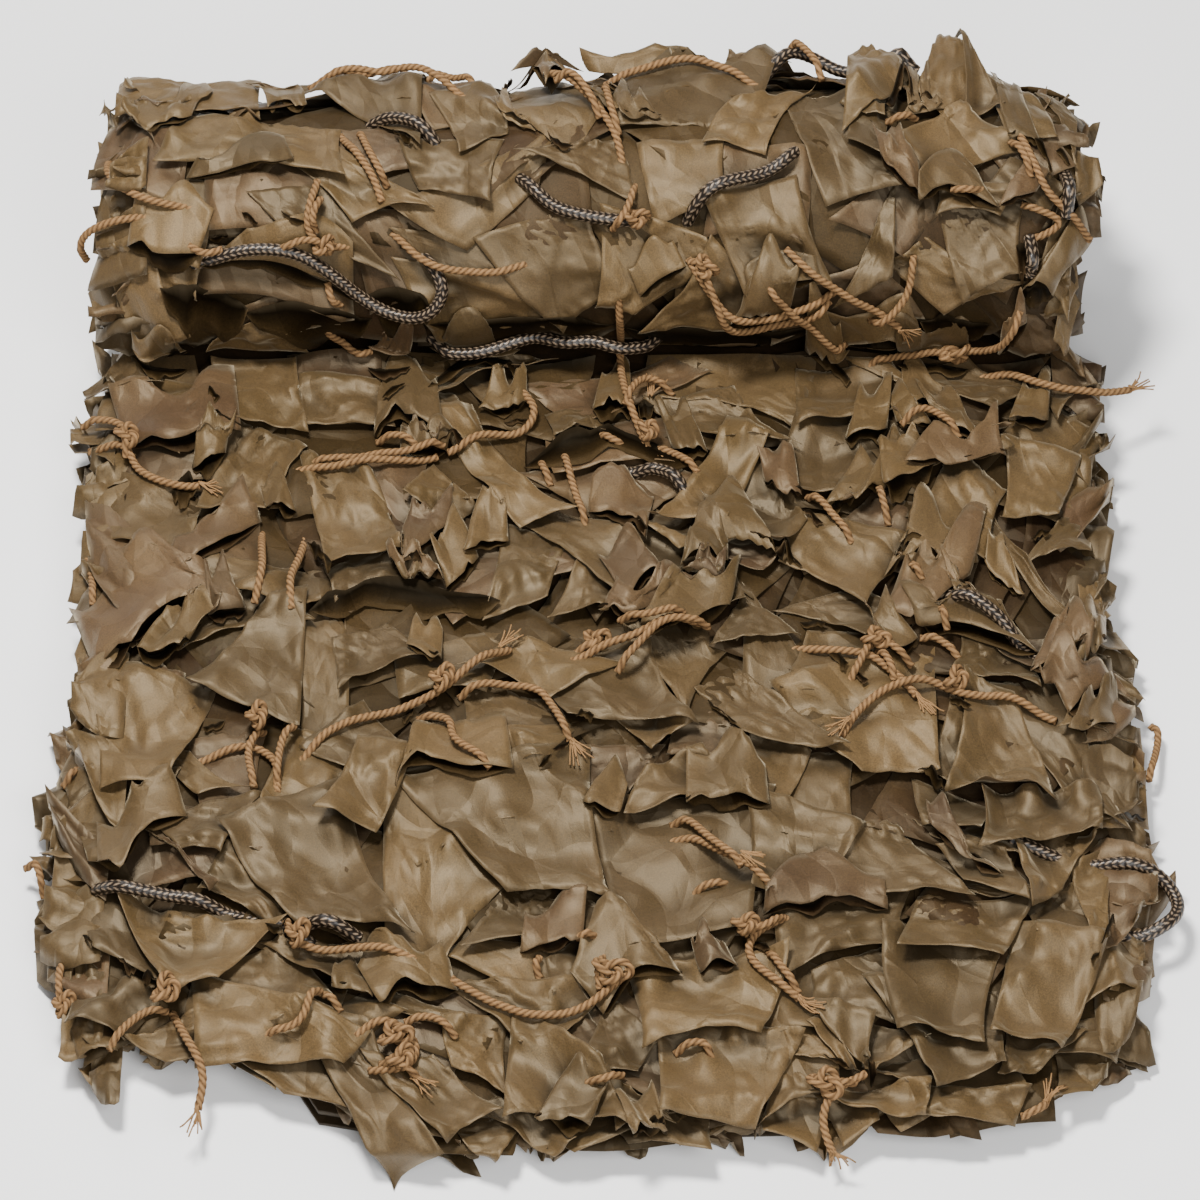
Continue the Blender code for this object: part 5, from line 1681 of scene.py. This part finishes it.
    (2, (815, 985), (890, 955), (906, 1016), (822, 1010), 4, 0, 0),
    (1, (750, 960), (830, 985), (810, 1030), (740, 1040), 3, 0, 0),
    (1, (60, 960), (130, 960), (150, 1010), (66, 1020), 3, 0, 0),
    # front edge
    (3, (850, 1076), (812, 1018), (830, 1008), (860, 1079), 5, 0, 0),
    (3, (860, 1079), (830, 1008), (878, 1026), (864, 1080), 5, 0, 0),
    (3, (864, 1080), (880, 1028), (930, 1050), (870, 1083), 5, 0, 0),
    (2, (866, 1082), (928, 1050), (932, 1083), (868, 1087), 5, 0, 0),
    (1, (788, 1010), (812, 1020), (850, 1075), (785, 1052), 3, 0, 0),
    (2, (70, 970), (155, 990), (130, 1036), (75, 1040), 5, 0, 0.3),
    (2, (62, 1020), (110, 1020), (116, 1056), (78, 1065), 6, 0, 0),
    (3, (125, 1030), (200, 1008), (270, 1050), (165, 1064), 4, 0, 0.2),
    (3, (190, 1000), (362, 1040), (345, 1068), (200, 1080), 4, 0, 0),
    (1, (230, 1066), (275, 1066), (276, 1091), (260, 1082), 4, 0, 0),
    (3, (312, 1070), (385, 1060), (452, 1146), (412, 1178), 5, 0, 0),
    (3, (385, 1085), (450, 1066), (505, 1108), (454, 1150), 5, 0, 0),
    (2, (450, 1020), (512, 1040), (502, 1108), (452, 1066), 4, 0, 0),
    (2, (456, 1120), (535, 1110), (494, 1166), (470, 1158), 4, 0, 0),
    (1, (236, 1040), (330, 1040), (352, 1138), (280, 1096), 3, 0, 0),
    (1, (300, 1040), (400, 1040), (412, 1150), (330, 1130), 3, 0, 0),
    (2, (505, 1120), (560, 1110), (568, 1150), (544, 1168), 4, 0, 0),
    (1, (545, 1100), (600, 1105), (720, 1146), (560, 1150), 3, 0, 0),
    (1, (600, 1105), (700, 1105), (722, 1144), (640, 1148), 3, 0, 0),
    (3, (510, 1045), (612, 1088), (640, 1136), (506, 1126), 5, 0, 0),
    (3, (600, 1078), (660, 1108), (672, 1130), (612, 1134), 4, 0, 0),
    (3, (650, 1058), (786, 1052), (762, 1130), (668, 1130), 5, 0, 0),
    (3, (775, 1055), (822, 1088), (818, 1098), (762, 1130), 5, 0, 0.3),
    (2, (760, 1112), (822, 1100), (818, 1152), (768, 1138), 4, 0, 0.3),
    (2, (828, 1098), (880, 1110), (872, 1132), (832, 1142), 4, 0, 0),
    (3, (832, 1090), (930, 1086), (922, 1131), (836, 1104), 5, 0, 0),
    (2, (925, 1092), (1024, 1088), (1010, 1132), (925, 1123), 5, 0, 0),
    (3, (888, 1000), (1000, 1020), (998, 1080), (930, 1085), 5, 0, 0),
    (3, (1000, 1030), (1070, 1035), (1040, 1076), (1005, 1082), 5, 0, 0),
    (2, (1045, 1050), (1116, 1010), (1122, 1060), (1060, 1072), 5, 0, 0),
    (1, (1060, 1060), (1118, 1050), (1090, 1095), (1056, 1095), 5, 0, 0),
    (1, (590, 1010), (700, 1010), (700, 1090), (590, 1080), 3, 1, 0),
    (1, (200, 980), (330, 990), (330, 1050), (200, 1040), 3, 0, 0),
    (1, (360, 990), (460, 990), (460, 1080), (350, 1080), 3, 1, 0),
    (1, (700, 1000), (820, 1000), (820, 1100), (700, 1100), 3, 0, 0),
    (1, (880, 1040), (1010, 1040), (1000, 1110), (880, 1110), 3, 0, 0),
)


# Openings under the edges of leaves, each with a sheet painted as dark shadow: the edge's places in the
# picture, from left to right, and how far down the picture the painted shadow reaches.
OPENINGS = (
    # roll
    (((130, 132), (160, 121), (192, 116)), 8), (((268, 112), (283, 101), (307, 110)), 9),
    (((393, 137), (404, 137), (415, 144)), 7),
    (((514, 86), (555, 77), (585, 70), (604, 73), (628, 98)), 13),
    (((494, 74), (500, 82), (512, 94)), 8), (((502, 122), (520, 125), (536, 133)), 4),
    (((186, 180), (216, 174), (266, 163), (294, 159)), 4),
    (((142, 222), (146, 213), (152, 210)), 6), (((242, 214), (248, 214), (258, 224)), 6),
    (((281, 212), (290, 217), (308, 223)), 5), (((210, 239), (219, 236), (229, 236)), 5),
    (((624, 118), (640, 118), (661, 122)), 4), (((548, 134), (556, 142), (573, 148)), 6),
    (((127, 246), (142, 240), (156, 252), (200, 252)), 18),
    (((200, 266), (240, 258), (285, 262), (325, 280), (354, 296)), 12),
    (((160, 288), (185, 284), (215, 288), (248, 306)), 46),
    (((246, 312), (285, 300), (330, 302), (372, 320)), 40),
    (((362, 294), (388, 287), (420, 290), (432, 312)), 40),
    (((430, 324), (480, 320), (545, 316), (615, 322)), 24),
    (((620, 326), (680, 330), (745, 330), (820, 326)), 26),
    (((640, 296), (660, 278), (686, 265)), 7),
    (((750, 296), (756, 288), (790, 281), (821, 277)), 6),
    (((730, 325), (746, 311), (762, 310), (786, 320)), 15),
    (((886, 108), (900, 94), (906, 80), (914, 100)), 14), (((908, 110), (925, 108), (942, 101)), 7),
    (((880, 156), (900, 177), (922, 202)), 8),
    (((918, 204), (940, 186), (962, 190), (1000, 208)), 10),
    (((1008, 135), (1025, 131), (1042, 146)), 12), (((1034, 144), (1044, 150), (1052, 172)), 10),
    (((998, 206), (1015, 198), (1036, 193)), 6), (((1056, 152), (1062, 150), (1070, 166)), 9),
    (((1066, 200), (1074, 196), (1080, 210)), 30), (((1016, 246), (1022, 243), (1030, 250)), 34),
    (((1020, 288), (1035, 280), (1052, 288)), 22),
    (((812, 348), (850, 345), (890, 337), (922, 334)), 16),
    (((920, 318), (945, 316), (990, 322)), 24), (((996, 350), (1012, 332), (1027, 322)), 10),
    (((804, 352), (822, 350), (850, 382)), 16),
    # tail, behind
    (((898, 368), (930, 365), (968, 371)), 10), (((903, 412), (915, 403), (954, 424)), 9),
    (((896, 426), (914, 424), (932, 430)), 6), (((942, 436), (962, 433), (980, 445)), 7),
    (((845, 444), (860, 432), (887, 435)), 13), (((592, 410), (612, 403), (633, 412)), 20),
    (((638, 412), (645, 409), (654, 412)), 10),
    (((524, 468), (560, 444), (604, 430), (648, 444), (696, 466)), 25),
    (((672, 449), (690, 449), (708, 453)), 12), (((588, 513), (612, 514), (647, 530)), 7),
    (((764, 484), (784, 489), (802, 500)), 6), (((804, 512), (812, 514), (823, 526)), 7),
    (((824, 510), (850, 502), (866, 489), (884, 495)), 10),
    (((884, 495), (902, 479), (934, 475)), 20), (((1008, 428), (1024, 420), (1048, 423)), 9),
    (((904, 464), (950, 463), (1006, 464)), 4), (((690, 542), (698, 537), (710, 538)), 5),
    (((728, 537), (755, 538), (776, 547)), 8), (((680, 560), (696, 546), (728, 566)), 10),
    (((776, 550), (786, 552), (802, 568)), 8),
    (((626, 600), (642, 578), (656, 569), (676, 584)), 13),
    (((682, 582), (702, 576), (724, 584)), 10), (((598, 619), (625, 617), (652, 613)), 6),
    (((640, 630), (685, 618), (730, 611)), 15),
    (((883, 586), (898, 566), (905, 551), (926, 554), (942, 565), (978, 570)), 8),
    (((984, 569), (1004, 584), (1024, 601)), 6),
    (((882, 614), (914, 612), (942, 596), (970, 580)), 22),
    (((955, 600), (970, 604), (992, 616)), 8),
    (((922, 632), (958, 627), (990, 632), (1038, 656)), 15),
    (((1032, 541), (1040, 534), (1050, 534)), 6), (((203, 404), (210, 393), (220, 401)), 9),
    (((128, 450), (160, 441), (194, 439), (214, 424), (242, 434)), 12),
    (((192, 470), (212, 458), (226, 454)), 18), (((172, 498), (184, 480), (198, 492)), 22),
    (((134, 357), (150, 367), (187, 371)), 10), (((166, 358), (177, 348), (190, 360)), 9),
    (((160, 578), (186, 561), (222, 542), (262, 524)), 9),
    (((266, 518), (281, 510), (297, 517)), 10), (((308, 545), (320, 556), (332, 567)), 12),
    (((396, 572), (418, 549), (438, 535), (452, 532)), 9),
    (((310, 614), (342, 599), (388, 589), (440, 593), (500, 606)), 27),
    (((446, 592), (464, 572), (479, 559)), 9), (((463, 552), (482, 545), (509, 542)), 7),
    (((400, 582), (416, 573), (444, 584)), 10),
    (((428, 390), (452, 368), (480, 356), (502, 360), (520, 382)), 13),
    (((374, 438), (388, 414), (402, 409), (444, 436)), 17),
    (((400, 454), (425, 450), (447, 455)), 8), (((438, 442), (452, 440), (466, 449)), 9),
    (((368, 369), (390, 373), (410, 369)), 8), (((382, 401), (392, 391), (405, 387)), 6),
    (((478, 410), (504, 412), (528, 406)), 6), (((504, 428), (518, 424), (532, 422)), 5),
    (((92, 666), (124, 646), (152, 618), (178, 602), (226, 603)), 20),
    (((208, 617), (226, 613), (246, 612)), 8),
    # tail, middle
    (((138, 656), (160, 654), (190, 643)), 12), (((406, 647), (424, 653), (442, 662)), 5),
    (((421, 708), (432, 702), (445, 699)), 6), (((402, 722), (407, 716), (414, 712)), 8),
    (((395, 786), (402, 762), (425, 757), (462, 765), (514, 768)), 12),
    (((553, 751), (560, 747), (570, 745)), 5), (((538, 766), (543, 759), (551, 757)), 8),
    (((576, 730), (584, 727), (594, 730)), 7), (((582, 801), (600, 806), (620, 818)), 9),
    (((686, 810), (706, 799), (730, 793), (770, 806)), 15),
    (((136, 809), (147, 806), (160, 810)), 4), (((203, 732), (214, 726), (225, 723)), 5),
    (((708, 705), (722, 714), (737, 728)), 4), (((827, 650), (836, 653), (848, 666)), 12),
    (((852, 674), (858, 675), (868, 683)), 7), (((948, 702), (958, 701), (971, 710)), 7),
    (((918, 772), (928, 775), (944, 795)), 11), (((1073, 648), (1088, 640), (1106, 649)), 11),
    (((1030, 672), (1050, 664), (1062, 652), (1084, 662)), 9),
    (((1068, 714), (1086, 696), (1114, 692)), 20), (((1068, 727), (1092, 724), (1118, 725)), 6),
    (((880, 641), (902, 648), (918, 640)), 9), (((800, 625), (812, 624), (826, 627)), 5),
    # tail, front third
    (((98, 874), (120, 866), (140, 832), (165, 819), (188, 816)), 13),
    (((331, 983), (350, 987), (373, 997)), 6),
    (((380, 1006), (400, 984), (426, 991), (458, 992)), 11),
    (((520, 954), (550, 946), (583, 940)), 7),
    (((603, 1016), (618, 990), (644, 962), (682, 976)), 13),
    (((534, 1120), (552, 1116), (590, 1131)), 14), (((633, 1135), (650, 1131), (668, 1126)), 9),
    (((143, 983), (150, 977), (158, 983)), 11), (((68, 951), (80, 944), (93, 944)), 6),
    (((266, 928), (276, 927), (288, 923)), 8), (((118, 966), (127, 969), (137, 977)), 6),
    (((930, 830), (952, 842), (978, 860), (1003, 876)), 11),
    (((763, 917), (785, 905), (812, 906), (836, 895), (888, 911)), 10),
    (((700, 976), (716, 960), (738, 967)), 11), (((1101, 945), (1112, 922), (1126, 912)), 8),
    (((1122, 816), (1132, 817), (1145, 826)), 6), (((823, 1064), (836, 1060), (849, 1068)), 6),
    (((861, 1081), (867, 1078), (876, 1082)), 5), (((753, 948), (760, 944), (770, 951)), 6),
    (((1091, 960), (1094, 952), (1100, 952)), 11),
)

OPEN_COLUMNS, OPEN_ROWS, FLAP_ROWS = 11, 3, 5
DEEPEST_FLAP, NARROWEST_FLAP = 24, 30.0         # in the picture's units
LEAST_LIFT, LIFT_BY_DEPTH, MOST_LIFT = 0.0010, 0.00030, 0.0052
BROWN_SHARE = 0.30              # of the raised flaps
HORIZON = 0.525                 # s past which the roll turns away, and leaves lie close to it
FALLEN = 0.3                    # how much lower leaves lie past the horizon


def painted_shadow(spots, torn, depth):
    """A sheet painted as shadow under a raised edge, laid on the cloth, deepest below the middle of it.
    """
    shadow_sheet = np.array([[on_surface(c, r - 1.0 + (depth + 1.0) * v * a)
                      for (c, r), a in zip(spots, torn)] for v in np.linspace(0.0, 1.0, OPEN_ROWS)])
    shadow_sheet[..., 1] = one_side(shadow_sheet[..., 1])
    shadow_sheet = finer(shadow_sheet)
    shadow_sheet[..., 2] = crest(shadow_sheet) + 0.0006
    return shadow_sheet


def raised_flap(spots, ragged, back, lift, arch):
    """A leaf that runs up the picture from the edge, which stands off the cloth."""
    pinch, lean = rng.uniform(-0.15, 0.45), rng.uniform(-0.7, 0.7) * back
    middle = spots[:, 0].mean()
    flap = []
    for v in np.linspace(0.0, 1.0, FLAP_ROWS):
        rise = lift * v ** 1.5 * arch
        columns = spots[:, 0] + (1.0 - v) * (lean - pinch * (spots[:, 0] - middle))
        rows = spots[:, 1] - back * ragged * (1.0 - v)
        flap.append([(*on_surface(c, r, 0.0010 + up)[:2], up + 0.0012 * v)
                     for c, r, up in zip(columns, rows, rise)])
    flap = np.array(flap)
    flap[..., 1] = one_side(flap[..., 1])
    if flap[..., 1].mean() > HORIZON:
        flap[..., 2] *= FALLEN
    flap[..., 2] += crest(flap) + 0.0006
    return flap


def open_edge(flaps, shadow_sheets, edge, depth):
    """A leaf whose arched edge stands over an opening, with a sheet painted as shadow under it."""
    spots = smooth_route(np.array(edge, float), 1.0)
    spots = spots[np.linspace(0, len(spots) - 1, OPEN_COLUMNS).round().astype(int)]
    t = np.linspace(0.0, 1.0, OPEN_COLUMNS)
    arch = np.sin(math.pi * t) ** 0.6
    lift = min(MOST_LIFT, LEAST_LIFT + LIFT_BY_DEPTH * depth)
    back = (1.6 * depth + 26.0) * rng.uniform(0.7, 1.3)
    ragged = 1.0 + 0.25 * np.sin(t * rng.uniform(4, 9) + rng.uniform(0, 6))
    look = {"tone": float(rng.random() < BROWN_SHARE), "level": rng.uniform(0.45, 1.0),
            "seed": int(rng.integers(1 << 30)), "flip": False}
    torn = arch * (1.0 + 0.28 * np.sign(np.sin(9.0 * t + back)) * rng.uniform(0.2, 1.0, len(t)))
    shadow_sheet = painted_shadow(spots, torn, depth)
    # painted shadow: black just under the raised edge, fading towards the cloth's own level further down
    shade = 0.42 * np.linspace(0.0, 1.0, len(shadow_sheet))[:, None] ** 2.4
    shadow_sheets.add(shadow_sheet, dict(look, level=shade), 0, True)
    if depth < DEEPEST_FLAP and np.ptp(spots[:, 0]) >= NARROWEST_FLAP:
        flaps.add(raised_flap(spots, ragged, back, lift, arch), look)


def crest(net):
    """The highest of the cloth that is there already, close round each place."""
    near = (-0.0018, 0.0, 0.0018)
    high = np.max([sample(net[..., 0] + a, net[..., 1] + b) for a in near for b in near], axis=0)
    for _ in range(2):
        wide = np.pad(high, 1, mode="edge")
        high = (wide[:-2, 1:-1] + wide[2:, 1:-1] + wide[1:-1, :-2] + wide[1:-1, 2:]
                + 2.0 * high) / 6.0
    return high


def lay_openings():
    """The sheets painted as shadow in the openings, and the raised leaf edges over them."""
    shadow_sheets, flaps = new_cloth("leaf_shadows", SHADOW), new_cloth("leaf_edges")
    for edge, depth in OPENINGS:
        open_edge(flaps, shadow_sheets, edge, depth)


def one_side(s):
    """Keeps a piece to the flat part or to the roll, so that the crease between stays open."""
    if np.mean(s) < TAIL:
        return np.minimum(s, TAIL - 0.001)
    return np.maximum(s, TAIL + 0.002)


def keep_inside(corners):
    """Draws corners in towards their middle until they are within the net's outline."""
    middle = corners[:, :2].mean(axis=0)
    for corner in corners:
        for _ in range(12):
            if inside_outline(world(corner[0], corner[1], 0.0)):
                break
            corner[:2] += 0.12 * (middle - corner[:2])


DEEP_ROWS, DEEP_COLUMNS = 17, 9
DEEP_PITCH_S, DEEP_PITCH_X = 45, 51              # in millimetres
DEEP_JITTER_S, DEEP_JITTER_X = 9, 8
DEEP_HALF_X, DEEP_HALF_S = (26, 38), (28, 42)    # least and most of half a leaf's size
DEEP_WIDE, DEEP_REACH, DEEP_START = 208, 715, 16                # in millimetres
DEEP_CORNER = (-100, 62)        # the net's front left corner is set back: x and s in millimetres
HIDDEN = 560                    # up to here (mm) other leaves cover them, and they are painted darker as shade
INNERMOST = 0.212


def deep_rows():
    """Leaves underneath, which show in the gaps and cover the roll's back; the covered ones are painted
    darker as shade.
    """
    rows = []
    for i in range(DEEP_ROWS):
        for j in range(DEEP_COLUMNS):
            s = -4 + i * DEEP_PITCH_S + rng.uniform(-DEEP_JITTER_S, DEEP_JITTER_S)
            x = -204 + j * DEEP_PITCH_X + (i % 2) * 10 - 5 + rng.uniform(-DEEP_JITTER_X, DEEP_JITTER_X)
            if abs(x) > DEEP_WIDE or s > DEEP_REACH or s < DEEP_START:
                continue
            if x < DEEP_CORNER[0] and s < DEEP_CORNER[1]:
                continue
            rows.append(deep_leaf(x * 0.001, s * 0.001, s < HIDDEN, s < 100))
    rows.sort(key=lambda row: row["corners"][0][1])
    return rows


def deep_leaf(x, s, hidden, in_front):
    """One of them, turned at random about its middle."""
    a = math.radians(rng.uniform(-50, 50))
    half = np.array([rng.uniform(*DEEP_HALF_X), rng.uniform(*DEEP_HALF_S)]) * 0.001
    corners = []
    for cu, ct in ((-1, 1), (1, 1), (1, -1), (-1, -1)):
        u = cu * half[0] * rng.uniform(0.55, 1.15)
        t = ct * half[1] * rng.uniform(0.75, 1.1)
        px = x + u * math.cos(a) - t * math.sin(a)
        ps = s + u * math.sin(a) + t * math.cos(a)
        corners.append((np.clip(px, -INNERMOST, INNERMOST), max(ps, -0.002), 0.0))
    corners = np.array(corners)
    if in_front:
        keep_inside(corners)
    corners[:, 1] = one_side(corners[:, 1])
    # covered leaves take a low level: painted shade under the leaves over them
    return piece(corners, rng.uniform(1, 3) if hidden else rng.uniform(3, 7),
                 float(rng.random() < 0.45),
                 level=rng.uniform(0.05, 0.40) if hidden else rng.uniform(0.3, 0.9))


# How far the leaves of each layer run on under their neighbours, all round and at the root, and
# how far they may turn (degrees).
SPREAD = (0.22, 0.12, 0.03, 0.0)
TUCK = (0.10, 0.25, 0.40, 0.25)
TURN = (32.0, 24.0, 10.0, 3.0)
TABLE_LIFT = 1.2                # what the table's lifts are made larger by


def leaf_rows(layer):
    """The pieces of one layer of the table, each laid out on what lies there already."""
    rows = []
    for at, *spots, lift, side, pleat in LEAVES:
        if at != layer:
            continue
        corners = np.array([on_surface(*spot, 0.0015) for spot in spots])
        if not pleat:
            corners[:2, :2] += TUCK[layer - 1] * (corners[:2, :2] - corners[[3, 2], :2])
        middle = corners[:, :2].mean(axis=0)
        a = math.radians(TURN[layer - 1]) * rng.uniform(-1.0, 1.0)
        turn = np.array([[math.cos(a), math.sin(a)], [-math.sin(a), math.cos(a)]])
        corners[:, :2] = middle + (1.0 + SPREAD[layer - 1]) * (corners[:, :2] - middle) @ turn
        if layer < 3:
            keep_inside(corners)
        corners[:, 1] = one_side(corners[:, 1])
        lift *= TABLE_LIFT if middle[1] < HORIZON else FALLEN
        rows.append(piece(corners, lift, side, pleat=float(pleat)))
    rows.sort(key=lambda row: sum(c[1] for c in row["corners"]))
    return rows


drape_all("leaf_cloth_deep", deep_rows(), 0, DEEP_NYLON)
for layer, letter in enumerate("abcd", 1):
    drape_all(f"leaf_cloth_{letter}", leaf_rows(layer), 0 if layer == 1 else 1)
lay_openings()
lay_ropes()
bare_ends = lay_twines()
lay_stretches()
lay_netting(bare_ends)
fold_ruffles()
# the smoothed top of all the cloth, from which the painted shade is measured
SHADE = blurred(HEIGHTS, 3)
for cloth in cloths:
    if cloth.count:
        cloth.finish()
